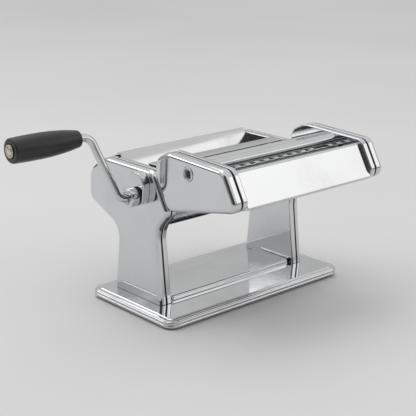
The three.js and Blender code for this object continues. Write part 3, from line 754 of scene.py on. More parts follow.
@dataclass
class Stands:
    """Two stands, each an outer and an inner pressed shell, with a dark band of painted shade in the seam
    between them.
    """

    inner_round: float = 1.5
    seam_gap: float = 1.4
    bush_radius: float = 8.2
    slot_y: float = 32.63
    slot_radius: float = 5.87
    wide_slot_radius: float = 10.37
    corners: Sequence[Corner] = field(default_factory=lambda: [
        (-21.957, LAYOUT.foot_z, 0.5), (-13.9, 87.0, 14), (*LAYOUT.on_lean(21.3, 107.3), 3.5),
        (*LAYOUT.on_lean(21.3, 141.0), 5), (60.5, 141.0, 7), (84.0, 126.0, 7), (85.5, 100.2, 5),
        (36.1, 79.0, 17),
        (43.89, LAYOUT.foot_z, 0.5)])

    def build(self) -> None:
        """Makes both stands."""
        lay = LAYOUT
        outline = rounded(self.corners, steps=12)
        outer = shell_stations(-lay.face_x, lay.face_x - lay.seam_x - self.seam_gap / 3, lay.bevel,
                               lay.wall, lay.foot_z)
        inner = inner_stations(-lay.seam_x + self.seam_gap, -lay.inner_x, lay.bevel, self.inner_round,
                               lay.wall,
                               lay.foot_z)
        band = [(1.6, -lay.seam_x - 1.2, lay.foot_z), (3.5, -lay.seam_x - 1.2, lay.foot_z),
                (3.5, -lay.seam_x + 1.8, lay.foot_z), (1.6, -lay.seam_x + 1.8, lay.foot_z)]
        bore = circle(lay.drive, lay.shaft_radius + 0.6)
        slot = circle((self.slot_y, lay.adjust[1]), self.slot_radius)
        wide_slot = circle((self.slot_y, lay.adjust[1]), self.wide_slot_radius)
        bushes = [circle(lay.drive, self.bush_radius + 0.3), circle(lay.pivot, self.bush_radius + 0.3)]
        for side, mirror, outer_holes, inner_holes in (
                ("near", False, [bore], [bore, slot]), ("far", True, bushes, [bore, wide_slot])):
            place_piece(lofted(outline, outer, outer_holes, mirror).build(f"{side}_stand_outer_shell"),
                        CHROME,
                        "machine", f"{side}_outer_shell")
            place_piece(lofted(outline, inner, inner_holes, mirror).build(f"{side}_stand_inner_shell"),
                        CHROME,
                        "machine", f"{side}_inner_shell")
            # Painted shade: a matt black band just inside the gap between the shells makes the seam read
            # dark, standing in for the shade in the joint.
            place_piece(self.seam_shade_band(outline, band, mirror).build(f"{side}_stand_seam_band"), RUBBER_AND_SEAM_SHADE,
                        "machine")

    @staticmethod
    def seam_shade_band(outline: Line, stations: Sequence[Corner], mirror: bool) -> Skin:
        """A closed band of painted shade that follows the outline inside the seam, darkening the gap: its
        rings join end to end.
        """
        rings = np.stack([ring_at(outline, *s) for s in stations])
        if mirror:
            rings[..., 0] *= -1
        return Skin().sheet(rings, wrap_rows=True)


# ---- Covers and guides between the stands ---------------------------------------------------


@dataclass
class Covers:
    """Folded sheets, scrapers and tie rods that span the stands."""

    end: float = 85.7
    top: float = 146.9

    def build(self) -> None:
        """Makes the covers, guides, scrapers, tie rods and rails."""
        lay = LAYOUT
        lean = lay.on_lean
        sheets = (
            ("top_guide_plate", "top_plate", POLISHED,
             [(3.0, 137.8), (8.0, self.top, 1.6), (-8.7, self.top)]),
            ("front_cover_sheet", "front_cover", CHROME,
             [lean(24.4, self.top - 2.2), (*lean(24.4, 109.3), 3.0),
                                                          (-21.0, 90.2, 2.0), (-10.7, 90.2)]),
            ("hopper_guide_sheet", "hopper_guide", POLISHED,
             [(44.6, 132.9), (54.5, 149.1, 1.8), (58.2, 147.7)]),
            ("back_cover_sheet", "back_cover", CHROME,
             [(63.0, 144.3), (86.1, 128.1, 6.0), (87.7, 99.5, 4.0),
                                                        (56.5, 88.0, 2.5), (44.5, 88.0)]),
            ("drive_scraper_blade", "drive_scraper", ZINC, [(-16.803, 98.795), (-8.903, 104.295)]),
            ("adjust_scraper_blade", "adjust_scraper", ZINC, [(50.203, 98.795), (42.603, 104.295)]),
        )
        for name, node, finish, corners in sheets:
            sheet = prism(name, sheet_line(corners, lay.plate), -self.end, self.end, 0.35)
            place_piece(sheet, finish, "machine", node)
        for node, centre in (("tie_rod_front", (-22.2, 110.5)), ("tie_rod_back", (72.5, 113.5)),
                             ("tie_rod_top", (65.5, 133.5))):
            rod = turned(f"{node}_bar", centre,
                         [(-self.end, 0), (-self.end, 3.5, 0.4), (self.end, 3.5, 0.4),
                                                 (self.end, 0)], 32, closed=False)
            place_piece(rod, ZINC, "machine", node)
        for node, x in (("near_cutter_rail", -66.0), ("far_cutter_rail", 66.0)):
            line = rounded([(*lean(25.3, 114.5), 0.8), (*lean(25.3, 139.5), 0.8),
                            (*lean(30.8, 142.25), 1.2),
                            (*lean(30.8, 117.25), 1.2)], steps=5)
            place_piece(prism(f"{node}_bar", line, x - 4.0, x + 4.0, 0.8, 4), ZINC, "machine", node)


# ---- Sheet rollers and their drive ----------------------------------------------------------


@dataclass
class Rollers:
    """The two smooth sheet rollers, the drive boss, collar and bushes."""

    end: float = 81.5
    collar_face: float = -120.0
    collar_radius: float = 9.5
    collar_length: float = 9.0
    boss_depth: float = 8.0
    boss_top_radius: float = 12.3
    boss_edge: float = 1.0
    socket: float = 7.0
    socket_depth: float = 22.0

    def build(self) -> None:
        """Makes the rollers and what turns them."""
        lay = LAYOUT
        neck, shaft, big, end = lay.shaft_radius + 3, lay.shaft_radius, lay.roller_radius, self.end
        place_piece(self.drive_roller(neck, shaft, big, end), ROLLER, "drive_roller", "drive_roller")
        adjustable = turned("adjustable_sheet_roller", lay.adjust, [
            (-end, 6.4), (-end, big, 0.7), (end, big, 0.7), (end, neck, 0.4), (94.0, neck, 0.4),
            (94.0, 6.4)], 96)
        place_piece(adjustable, ROLLER, "adjustable_roller", "adjustable_roller")
        face, radius = self.collar_face, self.collar_radius
        back = face + self.collar_length
        collar = turned("crank_collar_ring", lay.drive, [
            (face, 6.3, 0.3), (face, radius, 1.0), (back, radius, 0.7), (back, 6.3, 0.3)], 72)
        place_piece(collar, CHROME_SMALL, "drive_roller", "crank_collar")
        ring = circle((back + 1.4, 8.1), 1.25, 20)
        seal = Skin().sheet(turned_grid(lay.drive, ring, 64), wrap_rows=True).build("collar_seal_ring")
        place_piece(seal, RUBBER_AND_SEAM_SHADE, "drive_roller", "collar_ring")
        place_piece(self.boss(), CHROME_SMALL, "machine", "drive_boss")
        for node, centre, bore in (("far_drive_bush", lay.drive, 6.4), ("far_gap_bush", lay.pivot, 4.9)):
            bush = turned(f"{node}_ring", centre, [(98.5, bore, 0.2), (98.5, 8.2, 0.2), (100.0, 8.2, 0.3),
                                                   (100.0, bore, 0.3)], 56)
            place_piece(bush, NYLON, "machine", node)
        keep_node(ZINC, "drive_gear", "adjustable_gear", "roller_axle", "gap_cam")

    def drive_roller(self, neck: float, shaft: float, big: float, end: float) -> bpy.types.Object:
        """The drive roller with its shaft: a turned body round a square socket in the crank end."""
        lay = LAYOUT
        half = self.socket / 2
        floor = self.collar_face + self.socket_depth
        outside = rounded([(self.collar_face, half * 1.45), (self.collar_face, shaft, 0.4),
                           (-end - 1.5, shaft, 0.3),
                           (-end - 1.5, neck, 0.3), (-end, neck, 0.3), (-end, big, 0.7), (end, big, 0.7),
                           (end, neck, 0.3), (end + 1.5, neck, 0.3), (end + 1.5, shaft, 0.3),
                           (99.7, shaft, 0.5),
                           (99.7, 0)], closed=False, steps=4, hold=0.25)
        skin = Skin().sheet(turned_grid(lay.drive, outside, 96))
        mouth = turned_grid(lay.drive, Line(outside.points[:1], outside.normals[:1]), 96)[0]
        return square_socket(skin, mouth, lay.drive, half, self.collar_face,
                             floor).build("drive_sheet_roller")

    def boss(self) -> bpy.types.Object:
        """The drop-shaped boss: the hull of a small circle on the shaft and a wider one above it."""
        lay = LAYOUT
        low_radius, top_radius = self.collar_radius - self.boss_edge, self.boss_top_radius - self.boss_edge
        top = np.array([lay.drive[0] + 1.2, lay.drive[1] + 11.5])
        low = np.array(lay.drive)
        reach = float(np.linalg.norm(top - low))
        bearing = math.atan2(*(top - low)[::-1])
        opening = math.acos((low_radius - top_radius) / reach)
        under = np.linspace(bearing + opening, bearing - opening + 2 * math.pi, 40)
        over = np.linspace(bearing - opening, bearing + opening, 40)
        fan = [np.stack([np.cos(a), np.sin(a)], 1) for a in (under, over)]
        line = Line(np.vstack([low + fan[0] * low_radius, top + fan[1] * top_radius]), np.vstack(fan))
        back = -lay.face_x - lay.gap
        face = back - self.boss_depth
        turn = np.linspace(0, math.pi / 2, 6)
        stations = [(-0.6, face)] + [(1.0 * math.sin(t), face + 1.0 * (1 - math.cos(t))) for t in turn]
        stations += [(1.0, face + 1.3), (1.0, back - 0.3), (0.9, back)]
        return lofted(line, stations,
                      [circle(lay.drive, lay.shaft_radius + 0.4)]).build("drive_boss_casting")


def square_line(centre: Corner, half: float) -> Line:
    """A square of half side half round a centre, its corners eased."""
    y, z = centre
    return rounded([(y - half, z - half, 0.5), (y + half, z - half, 0.5),
                    (y + half, z + half, 0.5), (y - half, z + half, 0.5)], steps=3)


def square_socket(skin: Skin, mouth: Array, centre: Corner, half: float, x0: float, floor: float) -> Skin:
    """Adds a square socket: a flat face from the mouth circle to the square, four walls and a floor."""
    line = square_line(centre, half)
    wide, square, deep = ring_at(line, 0.3, x0), ring_at(line, 0.0, x0 + 0.4), ring_at(line, 0.0, floor)
    return skin.lid(mouth, wide).sheet(np.stack([wide, square, deep])).lid(deep)


# ---- Thickness knob -------------------------------------------------------------------------


@dataclass
class ThicknessKnob:
    """The fluted knob on the far side, its numbered dial ring and its pin."""

    radius: float = 18.0
    x0: float = 103.0
    depth: float = 15.0
    flutes: int = 24
    dial_steps: int = 7
    sweep: float = 140.0

    def build(self) -> None:
        """Makes the knob, dial ring, numbers and pin."""
        lay = LAYOUT
        place_piece(self.knob(), PLASTIC, "knob", "gap_knob")
        face = lay.face_x
        dial = turned("dial_ring_plate", lay.pivot, [
            (face + 0.3, self.radius - 2.6, 0.2), (face + 0.3, self.radius + 4, 0.4),
            (face + 2.4, self.radius + 3.6, 0.8),
            (face + 2.4, self.radius - 2.6, 0.3)], 96)
        place_piece(dial, CHROME_SMALL, "machine", "dial_ring")
        pin = turned("knob_index_pin", (lay.pivot[0] - self.radius + 6, lay.pivot[1]), [
            (face + 0.5, 0), (face + 0.5, 1.6, 0.4), (self.x0 - 0.3, 1.6, 0.1), (self.x0 - 0.3, 0)], 24,
            closed=False)
        place_piece(pin, ZINC, "knob", "knob_pin")
        self.numbers()

    def knob(self) -> bpy.types.Object:
        """The knob: a turned profile whose side is scalloped by a cosine of the angle."""
        x0, x1, big = self.x0, self.x0 + self.depth, self.radius
        line = rounded([(x0, 4.9, 0.3), (x0, big, 0.7), (x1, big - 2.4, 1.8), (x1 - 1.1, big - 6.5, 1.4),
                        (x1 - 1.1, 0)],
                       closed=False, steps=6, hold=0.3)
        hollow = rounded([(x0 + 8, 0), (x0 + 8, 4.9), (x0, 4.9)], closed=False)
        points = np.vstack([hollow.points[:-1], line.points])
        normals = np.vstack([hollow.normals[:-1], line.normals])
        sides = self.flutes * 10
        angle = np.arange(sides) * 2 * math.pi / sides
        near_rim = np.clip((points[:, 1] - (big - 5.0)) / 3.0, 0, 1)
        weight = near_rim * np.clip((x1 - 0.4 - points[:, 0]) / 3.0, 0.15, 1)
        scallop = np.clip(np.cos(self.flutes * angle), -0.2, 1) * 0.5 - 0.5
        grid = turned_grid(LAYOUT.pivot, Line(points, normals), sides,
                           flutes=np.outer(weight, scallop * 0.8))
        return Skin().sheet(grid).build("thickness_knob")

    def numbers(self) -> None:
        """Prints the step numbers round the dial ring."""
        lay = LAYOUT
        middle = self.radius + 1.9
        for step in range(self.dial_steps):
            angle = math.radians(90 - self.sweep / 2 + self.sweep * step / (self.dial_steps - 1))
            curve = bpy.data.curves.new(f"dial_number_{step + 1}", "FONT")
            curve.body, curve.size, curve.extrude = str(step + 1), 3.2 * MM, 0.03 * MM
            curve.align_x = curve.align_y = "CENTER"
            source = bpy.data.objects.new(curve.name, curve)
            link_object(source)
            bpy.context.view_layer.update()
            graph = bpy.context.evaluated_depsgraph_get()
            data = bpy.data.meshes.new_from_object(source.evaluated_get(graph))
            bpy.data.objects.remove(source)
            flat = np.empty(len(data.vertices) * 3)
            data.vertices.foreach_get("co", flat)
            flat = flat.reshape(-1, 3) / MM
            turn = angle - math.pi / 2
            across = flat[:, 0] * math.cos(turn) - flat[:, 1] * math.sin(turn)
            up = flat[:, 0] * math.sin(turn) + flat[:, 1] * math.cos(turn)
            placed = np.column_stack([lay.face_x + 2.42 + flat[:, 2],
                                      lay.pivot[0] + middle * math.cos(angle) + across,
                                      lay.pivot[1] + middle * math.sin(angle) + up])
            data.vertices.foreach_set("co", to_row(placed).ravel())
            made = bpy.data.objects.new(f"dial_number_{step + 1}", data)
            link_object(made)
            place_piece(made, PRINT, "machine")


# ---- Crank ----------------------------------------------------------------------------------


@dataclass
class Crank:
    """The bent rod with its square tang, the free-turning grip and its brass washer."""

    rod_radius: float = 4.0
    start: Corner = (-120.6, -0.7, 119.5)
    low: Corner = (-128.5, -0.7, 119.5)
    high: Corner = (-148.0, 18.0, 181.5)
    end_x: float = -236.1
    foot_bend: float = 7.5
    top_bend: float = 9.5
    grip_x: Corner = (-160.5, -234.5)
    grip_radius: float = 12.3
    grip_neck: float = 8.0
    tang_half: float = 3.2
    tang_x: Corner = (-122.0, -100.0)

    def rod_line(self) -> tuple[Array, Array]:
        """The rod's middle line and the direction across its plane.

        The line is three straight runs joined by two quadratic bends, all in the plane that holds X and the
        arm; positions and tangents are taken together.
        """
        start, low, high = (np.array(p) for p in (self.start, self.low, self.high))
        end = np.array([self.end_x, self.high[1], self.high[2]])

        def towards(a: Array, b: Array, reach: float) -> Array:
            """The point at a distance from a towards b."""
            return a + (b - a) / np.linalg.norm(b - a) * reach

        def bend(a: Array, corner: Array, b: Array) -> Array:
            """The quadratic curve (1-t)^2 a + 2t(1-t) corner + t^2 b."""
            t = np.linspace(0, 1, 21)[:, None]
            return (1 - t) ** 2 * a + 2 * t * (1 - t) * corner + t**2 * b

        straight_end = end + np.array([3.0, 0, 0])
        foot, top = self.foot_bend, self.top_bend
        line = np.vstack([start[None], bend(towards(low, start, foot), low, towards(low, high, foot)),
                          bend(towards(high, low, top), high, towards(high, end, top)), straight_end[None],
                          end[None]])
        arm = high - low
        across = np.cross([1.0, 0, 0], arm)
        return line, across / np.linalg.norm(across)

    def build(self) -> None:
        """Makes the rod, grip and washer."""
        line, across = self.rod_line()
        tangent = np.gradient(line, axis=0)
        tangent[0], tangent[-1] = line[1] - line[0], line[-1] - line[-2]
        tangent /= np.linalg.norm(tangent, axis=1)[:, None]
        side = np.cross(across, tangent)
        angle = np.arange(40) * 2 * math.pi / 40
        near = [(0.0, 0.9), (0.25, 1.0)]
        far = [(-0.6, 1.0), (-0.25, 0.955), (0.0, 0.86)]
        points = np.vstack([[line[0] + tangent[0] * reach for reach, _ in near], line[1:-1],
                            [line[-1] + tangent[-1] * reach for reach, _ in far]])
        share = np.concatenate([[s for _, s in near], np.ones(len(line) - 2), [s for _, s in far]])
        side = side[np.concatenate([[0, 0], np.arange(1, len(line) - 1), [-1, -1, -1]])]
        grid = points[:, None] + self.rod_radius * share[:, None, None] * (
            np.cos(angle)[None, :, None] * side[:, None] + np.sin(angle)[None, :, None] * across)
        skin = Skin().sheet(grid).lid(grid[0]).lid(grid[-1])
        place_piece(skin.build("crank_rod_bar"), CHROME_SMALL, "crank", "crank_rod")
        square = square_line(LAYOUT.drive, self.tang_half)
        place_piece(prism("crank_square_tang", square, *self.tang_x, 0.5), CHROME_SMALL, "crank")
        self.build_grip()

    def build_grip(self) -> None:
        """The grip: full at its outer end, easing in towards the arm, with a recessed end and the washer."""
        x0, x1 = self.grip_x
        big, neck = self.grip_radius, self.grip_neck
        centre = self.high[1:]
        corners = [(x0, 4.4, 0.3), (x0, neck, 1.6), (x0 - 14.0, neck + 2.4, 6.0), (x0 - 34.0, big, 12.0),
                   (x0 - 60.0, big - 0.05, 6.0), (x1, big - 0.6, 1.9), (x1, big - 5.2, 0.6),
                   (x1 + 1.4, big - 5.8, 0.4),
                   (x1 + 1.4, 4.4, 0.3)]
        place_piece(turned("crank_grip_handle", centre, corners, 80, steps=9), PLASTIC, "grip",
                    "crank_grip")
        washer = turned("grip_end_washer", centre,
                        [(x1 - 0.2, 4.35, 0.1), (x1 - 0.2, 6.3, 0.3), (x1 - 1.3, 6.2, 0.4),
                                                    (x1 - 1.3, 4.35, 0.2)], 56)
        place_piece(washer, BRASS, "crank", "grip_washer")


# ---- Cutter head ----------------------------------------------------------------------------


@dataclass
class CutterHead:
    """The lift-off head: two casings, three sheets, strippers, ties and two pairs of cutting rollers."""

    corner: Corner = (-41.576, 115.5)
    face_x: float = 101.5
    seam_x: float = 91.5
    inner_x: float = 84.0
    seam_gap: float = 1.7
    module: float = 1.2
    pair_teeth: int = 16
    pinion_teeth: int = 11
    idler_teeth: int = 8
    journal: float = 4.0
    wide_pitch: float = 13.0
    narrow_pitch: float = 3.2
    outline: Sequence[Corner] = ((0, 0, 4), (16, 27.7, 4), (16, 41.5, 5), (0.6, 49.5, 5), (-73.2, 46.5, 4),
                                 (-89, 18.1, 6))

    def at(self, y: float, z: float, *ease: float) -> Corner:
        """A point given from the casing's lower back corner."""
        return (self.corner[0] + y, self.corner[1] + z, *ease)

    def turn_from(self, start: Corner, teeth: int, degrees: float) -> Corner:
        """The axis that meshes with the one at start, in the given direction."""
        reach = self.module * teeth / 2
        return (start[0] + reach * math.cos(math.radians(degrees)),
                start[1] + reach * math.sin(math.radians(degrees)))

    def __post_init__(self) -> None:
        """Places the axes of the gears and rollers."""
        pair, pinion, idler = self.pair_teeth, self.pinion_teeth, self.idler_teeth
        self.pinion = self.at(-28.7, 38.8)
        self.wide_front = self.turn_from(self.pinion, pinion + pair, -67)
        self.wide_back = self.turn_from(self.wide_front, 2 * pair, 0)
        self.idler = self.turn_from(self.pinion, pinion + idler, 163)
        self.narrow_back = self.turn_from(self.idler, idler + pair, -123.5)
        self.narrow_front = self.turn_from(self.narrow_back, 2 * pair, 180)
        self.gear_x = (-self.face_x + LAYOUT.bevel + 0.6, -self.face_x + LAYOUT.bevel + 6.6)

    def build(self) -> None:
        """Makes the whole head."""
        self.casings()
        self.sheets()
        self.rollers()

    def casings(self) -> None:
        """The end casings with their seam bands of painted shade and the socket bush."""
        lay = LAYOUT
        outline = rounded([self.at(*c) for c in self.outline], steps=12)
        outer = shell_stations(-self.face_x, self.face_x - self.seam_x - self.seam_gap / 3, lay.bevel,
                               lay.wall)
        inner = inner_stations(-self.seam_x + self.seam_gap, -self.inner_x, lay.bevel, 1.5, lay.wall)
        band = [(1.6, -self.seam_x - 1.2), (3.3, -self.seam_x - 1.2), (3.3, -self.seam_x + 2.4),
                (1.6, -self.seam_x + 2.4)]
        axes = [self.wide_front, self.wide_back, self.narrow_back, self.narrow_front]
        journals = [circle(a, self.journal + 0.4, 28) for a in axes]
        near_only = [circle(self.pinion, 3.4, 28), circle(self.idler, 2.4, 24)]
        for side, mirror, outer_holes, inner_holes in (
                ("near", False, [circle(self.pinion, 7.3, 56)], journals + near_only),
                ("far", True, [], journals)):
            place_piece(lofted(outline, outer, outer_holes, mirror).build(f"{side}_casing_outer"), CHROME,
                        "cutter_head", f"{side}_cutter_outer_shell")
            place_piece(lofted(outline, inner, inner_holes, mirror).build(f"{side}_casing_inner"), CHROME,
                        "cutter_head", f"{side}_cutter_inner_shell")
            # Painted shade: a matt black band inside the casing seam stands in for the shade in the gap
            # between the shells.
            place_piece(Stands.seam_shade_band(outline, band, mirror).build(f"{side}_casing_seam_band"), RUBBER_AND_SEAM_SHADE,
                        "cutter_head")
        x = -self.face_x
        bush = turned("socket_bush_ring", self.pinion,
                      [(x - 0.8, 5.4, 0.3), (x - 0.8, 7.0, 0.5), (x + 2.5, 7.0, 0.2),
                                                        (x + 2.5, 5.4, 0.2)], 64)
        place_piece(bush, POLISHED, "cutter_head", "cutter_socket_bush")

    def sheets(self) -> None:
        """The front panel, divider, back plate with its rail channels, strippers and ties."""
        lay, end = LAYOUT, self.inner_x - LAYOUT.gap
        at = self.at
        for name, node, finish, corners in (
                ("cutter_front_sheet", "cutter_front_panel", CHROME,
                 [at(-63.5, 42), at(-72.6, 47.2, 2.4), at(-90.8, 14.7, 1.8), at(-87.4, 13.6)]),
                ("cutter_divider_sheet", "cutter_divider", POLISHED,
                 [at(-25.2, 36.8), at(-36.8, 50.6, 1.8), at(-43.4, 48.2, 1.6), at(-44, 43)]),
                ("wide_stripper_comb", "wide_stripper", ZINC, [at(-17, 6), at(-15.2, 14)]),
                ("narrow_stripper_comb", "narrow_stripper", ZINC, [at(-51, 13), at(-56, 20.6)])):
            place_piece(prism(name, sheet_line(corners, lay.plate), -end, end, 0.35), finish, "cutter_head",
                        node)
        plate = prism("cutter_back_sheet", sheet_line(
            [at(-8.6, 34.4), at(4.6, 39.4, 2.0), at(13, 36.6, 2.4), at(13, 28.2, 2.4), at(-1.7, 2.7)],
            lay.plate),
            -end, end, 0.35)
        place_piece(plate, POLISHED, "cutter_head", "cutter_back_plate")
        lean = lay.on_lean
        for i, x0 in enumerate((-73.0, -61.0, 59.0, 71.0)):
            line = rounded([(*lean(29.2, 121.5), 0.5), (*lean(29.2, 138.5), 0.5), (*lean(36.2, 142.0), 0.5),
                            (*lean(36.2, 125.0), 0.5)], steps=3)
            place_piece(prism(f"rail_channel_{i + 1}", line, x0, x0 + 2.0, 0.4), POLISHED, "cutter_head")
        for node, (y, z) in (("cutter_tie_back", (-3.4, 9)), ("cutter_tie_middle", (-36, 18.5)),
                             ("cutter_tie_front", (-80, 24))):
            rod = turned(f"{node}_bar", at(y, z), [(-end, 0), (-end, 2.5, 0.3), (end, 2.5, 0.3), (end, 0)],
                         28,
                         closed=False)
            place_piece(rod, ZINC, "cutter_head", node)

    def gear(self, axis: Corner, teeth: int, phase: float) -> Skin:
        """A gear: teeth with straight flanks on a circle of radius module times teeth / 2."""
        pitch = self.module * teeth / 2
        centre = phase + np.arange(teeth) * 2 * math.pi / teeth
        root, tip = pitch - 1.15 * self.module, pitch + 0.8 * self.module
        root_half, tip_half = 0.31 * math.pi * self.module, 0.1 * math.pi * self.module
        radius = np.array([root, tip, tip, root])
        width = np.array([-root_half / root, -tip_half / tip, tip_half / tip, root_half / root])
        angle = (centre[:, None] + width).ravel()
        reach = np.tile(radius, teeth)
        corners = np.stack([axis[0] + reach * np.cos(angle), axis[1] + reach * np.sin(angle)], 1)
        line = rounded([(y, z) for y, z in corners])
        x0, x1 = self.gear_x
        return lofted(line, [(-0.25, x0), (0.0, x0 + 0.25), (0.0, x1 - 0.25), (-0.25, x1)])

    @staticmethod
    def meshed(start: Corner, teeth: int, phase: float, end: Corner, end_teeth: int) -> float:
        """The phase that sets a gear's gap against the other gear's tooth on the line of centres."""
        bearing = math.atan2(end[1] - start[1], end[0] - start[0])
        return bearing + math.pi - teeth / end_teeth * (phase - bearing) - math.pi / end_teeth

    def cutter_profile(self, pitch: float, disc: float, core: float, tip: float,
                       first: float) -> list[Corner]:
        """A cutting roller's profile: discs of one width at an even pitch along a core."""
        end = self.inner_x - 1.2
        starts = np.arange(first, end - disc - 0.5, pitch)
        inner = [c for x in starts for c in ((x, core), (x, tip, 0.18), (x + disc, tip, 0.18),
                                             (x + disc, core))]
        return [(self.gear_x[0], 0), (self.gear_x[0], self.journal, 0.3), (-end, self.journal),
                (-end, core, 0.3), *inner,
                (end, core, 0.3), (end, self.journal), (self.inner_x + 4, self.journal, 0.4),
                (self.inner_x + 4, 0)]

    def rollers(self) -> None:
        """The pinion, idler and the two pairs of cutting rollers."""
        pair = self.pair_teeth
        wide_phase = self.meshed(self.pinion, self.pinion_teeth, 0.0, self.wide_front, pair)
        back_phase = self.meshed(self.wide_front, pair, wide_phase, self.wide_back, pair)
        idler_phase = self.meshed(self.pinion, self.pinion_teeth, 0.0, self.idler, self.idler_teeth)
        narrow_phase = self.meshed(self.idler, self.idler_teeth, idler_phase, self.narrow_back, pair)
        front_phase = self.meshed(self.narrow_back, pair, narrow_phase, self.narrow_front, pair)
        first = -self.inner_x + 8.0
        wide = (self.wide_pitch, self.wide_pitch / 2 - 0.3, 8.3, 10.1)
        narrow = (self.narrow_pitch, self.narrow_pitch / 2 - 0.2, 8.4, 9.9)
        for node, axis, phase, sizes, begin in (
                ("wide_roller_front", self.wide_front, wide_phase, wide, first),
                ("wide_roller_back", self.wide_back, back_phase, wide, first + self.wide_pitch / 2),
                ("narrow_roller_back", self.narrow_back, narrow_phase, narrow, first - 5.0),
                ("narrow_roller_front", self.narrow_front, front_phase, narrow,
                 first - 5.0 + self.narrow_pitch / 2)):
            roller = turned(f"{node}_discs", axis, self.cutter_profile(*sizes, begin), 64, closed=False,
                            steps=2)
            place_piece(roller, ROLLER, node, node)
            place_piece(self.gear(axis, pair, phase).build(f"{node}_gear", 25), ZINC, node)
        place_piece(self.gear(self.idler, self.idler_teeth, idler_phase).build("idler_gear", 25), ZINC,
                    "cutter_idler",
                    "cutter_idler")
        place_piece(self.gear(self.pinion, self.pinion_teeth, 0.0).build("pinion_gear", 25), ZINC,
                    "cutter_pinion")
        x = -self.face_x - 0.4
        stub = rounded([(x, 5.05), (x, 5.0, 0.3), (self.gear_x[0] + 1, 5.0, 0.2), (self.gear_x[0] + 1, 3.0),
                        (-self.inner_x - 0.3, 3.0, 0.3), (-self.inner_x - 0.3, 0)], closed=False, steps=3)
        # The rounded rim starts outside the mouth circle, so its first two points give way to the circle.
        stub = Line(np.vstack([[x, 4.98], stub.points[2:]]),
                    np.vstack([stub.normals[:1], stub.normals[2:]]))
        skin = Skin().sheet(turned_grid(self.pinion, stub, 48))
        mouth = turned_grid(self.pinion, Line(stub.points[:1], stub.normals[:1]), 48)[0]
        socket = square_socket(skin, mouth, self.pinion, 3.5, x, x + 9.4).build("pinion_drive_stub")
        place_piece(socket, ZINC, "cutter_pinion", "cutter_pinion")


# ---- Studio ---------------------------------------------------------------------------------


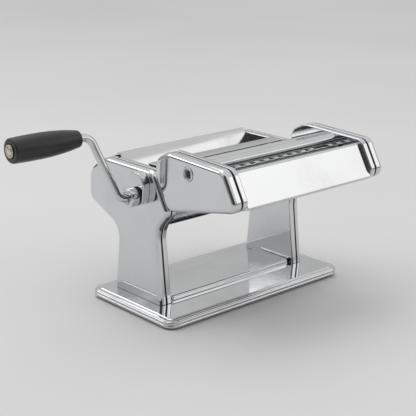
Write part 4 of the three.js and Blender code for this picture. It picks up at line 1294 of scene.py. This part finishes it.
@dataclass
class Studio:
    """A plain pale floor, soft lights and the camera."""

    camera_at: Corner = (-725.5, -802.0, 415.2)
    camera_way: Corner = (0.6345, 0.7158, -0.2917)
    lens: float = 93.855
    floor_half: float = 30.0
    world_strength: float = 1.0
    patch_way: Corner = (-0.70, -0.58, 0.36)
    patch_edge: float = 0.80
    patch_core: float = 0.90
    patch_tone: float = 0.10

    def build(self) -> None:
        """Sets the stage, lights and camera."""
        self.floor()
        self.world()
        aim = Vector(to_row(np.array([0.0, 0.0, 90.0])))
        for name, way, distance, size, power, tint in (
                ("key_softbox", (0.665, -0.665, 0.342), 1.72, (1.0, 0.7), 1.45, (1.0, 0.99, 0.97)),
                ("top_softbox", (-0.1, 0.35, 1.0), 1.6, (1.4, 1.0), 4.4, (1.0, 1.0, 1.0)),
                ("rim_softbox", (-0.52, 0.72, 0.46), 1.9, (0.9, 0.45), 2.6, (1.0, 1.0, 1.0))):
            self.light(name, aim, Vector(way), distance, size, power, tint)
        camera = bpy.data.cameras.new("studio_camera")
        camera.lens, camera.sensor_width, camera.clip_start, camera.clip_end = self.lens, 36.0, 0.05, 100.0
        holder = bpy.data.objects.new("studio_camera", camera)
        holder.location = Vector(to_row(np.array(self.camera_at)))
        holder.rotation_euler = Vector(self.camera_way).to_track_quat("-Z", "Y").to_euler()
        link_object(holder)
        bpy.context.scene.camera = holder
        bpy.context.scene.view_settings.view_transform = "Standard"

    def light(self, name: str, aim: Vector, way: Vector, distance: float, size: Corner, power: float,
              tint: Corner) -> None:
        """Adds one rectangular soft light that faces the machine."""
        lamp = bpy.data.lights.new(name, "AREA")
        lamp.shape, lamp.size, lamp.size_y, lamp.energy, lamp.color = "RECTANGLE", *size, power, tint
        holder = bpy.data.objects.new(name, lamp)
        holder.location = aim + way.normalized() * distance
        holder.rotation_euler = (aim - holder.location).to_track_quat("-Z", "Y").to_euler()
        link_object(holder)

    def floor(self) -> None:
        """A wide flat floor, one quad at the height of the feet."""
        half = self.floor_half
        data = bpy.data.meshes.new("studio_floor")
        data.from_pydata([(-half, -half, 0), (half, -half, 0), (half, half, 0), (-half, half, 0)], [],
                         [(0, 1, 2, 3)])
        floor = bpy.data.objects.new("studio_floor", data)
        link_object(floor)
        paint = bpy.data.materials.new("pale_floor")
        paint.use_nodes = True
        nodes = Nodes(paint.node_tree)
        shader = paint.node_tree.nodes["Principled BSDF"]
        shader.inputs["Roughness"].default_value = 0.55
        shader.inputs["Specular IOR Level"].default_value = 0.25
        place = nodes.add("TexCoord").outputs["Object"]
        tone = nodes.add("TexNoise", None, Vector=place, Scale=1.7, Detail=3.0).outputs[0]
        mix = nodes.add("Mix", {"data_type": "RGBA"}, Factor=nodes.spread(tone, 0.3, 0.7, 0.0, 1.0))
        mix.inputs[6].default_value = (0.80, 0.80, 0.795, 1)
        mix.inputs[7].default_value = (0.85, 0.85, 0.845, 1)
        nodes.feed(shader.inputs["Base Color"], mix.outputs[2])
        data.materials.append(paint)

    def world(self) -> None:
        """A soft sky of greys by height, with a dim patch behind the camera.

        The patch is a cone round the direction patch_way: its cosine is spread from patch_edge to patch_core
        and takes the sky down to patch_tone.
        """
        world = bpy.data.worlds.new("studio_world")
        bpy.context.scene.world = world
        world.use_nodes = True
        nodes = Nodes(world.node_tree)
        way = nodes.add("TexCoord").outputs["Generated"]
        height = nodes.add("SeparateXYZ", None, Vector=way).outputs["Z"]
        ramp = nodes.add("ValToRGB", None, Fac=nodes.spread(height, -1.0, 1.0, 0.0, 1.0))
        stops = ramp.color_ramp.elements
        stops[0].position, stops[0].color = 0.0, (0.20, 0.20, 0.20, 1)
        stops[1].position, stops[1].color = 1.0, (0.80, 0.805, 0.815, 1)
        for where, tone in ((0.5, 0.10), (0.53, 0.14), (0.56, 0.46), (0.66, 0.56), (0.78, 0.78)):
            stop = stops.new(where)
            stop.color = (tone, tone, tone * 0.99, 1)
        aim = Vector(self.patch_way).normalized()
        facing = nodes.add("VectorMath", {"operation": "DOT_PRODUCT"}, i0=way, i1=aim).outputs["Value"]
        dim = nodes.spread(facing, self.patch_edge, self.patch_core, 1.0, self.patch_tone)
        sky = nodes.add("VectorMath", {"operation": "SCALE"}, Vector=ramp.outputs["Color"],
                        Scale=dim).outputs[0]
        background = world.node_tree.nodes["Background"]
        nodes.feed(background.inputs["Color"], sky)
        background.inputs["Strength"].default_value = self.world_strength


def main() -> None:
    """Builds every sub-assembly in order."""
    logging.basicConfig(level=logging.INFO, format="%(name)s: %(message)s")
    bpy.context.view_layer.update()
    for part in (Base(), Stands(), Covers(), Rollers(), ThicknessKnob(), Crank(), CutterHead()):
        part.build()
    Studio().build()


if __name__ == "__main__":
    main()
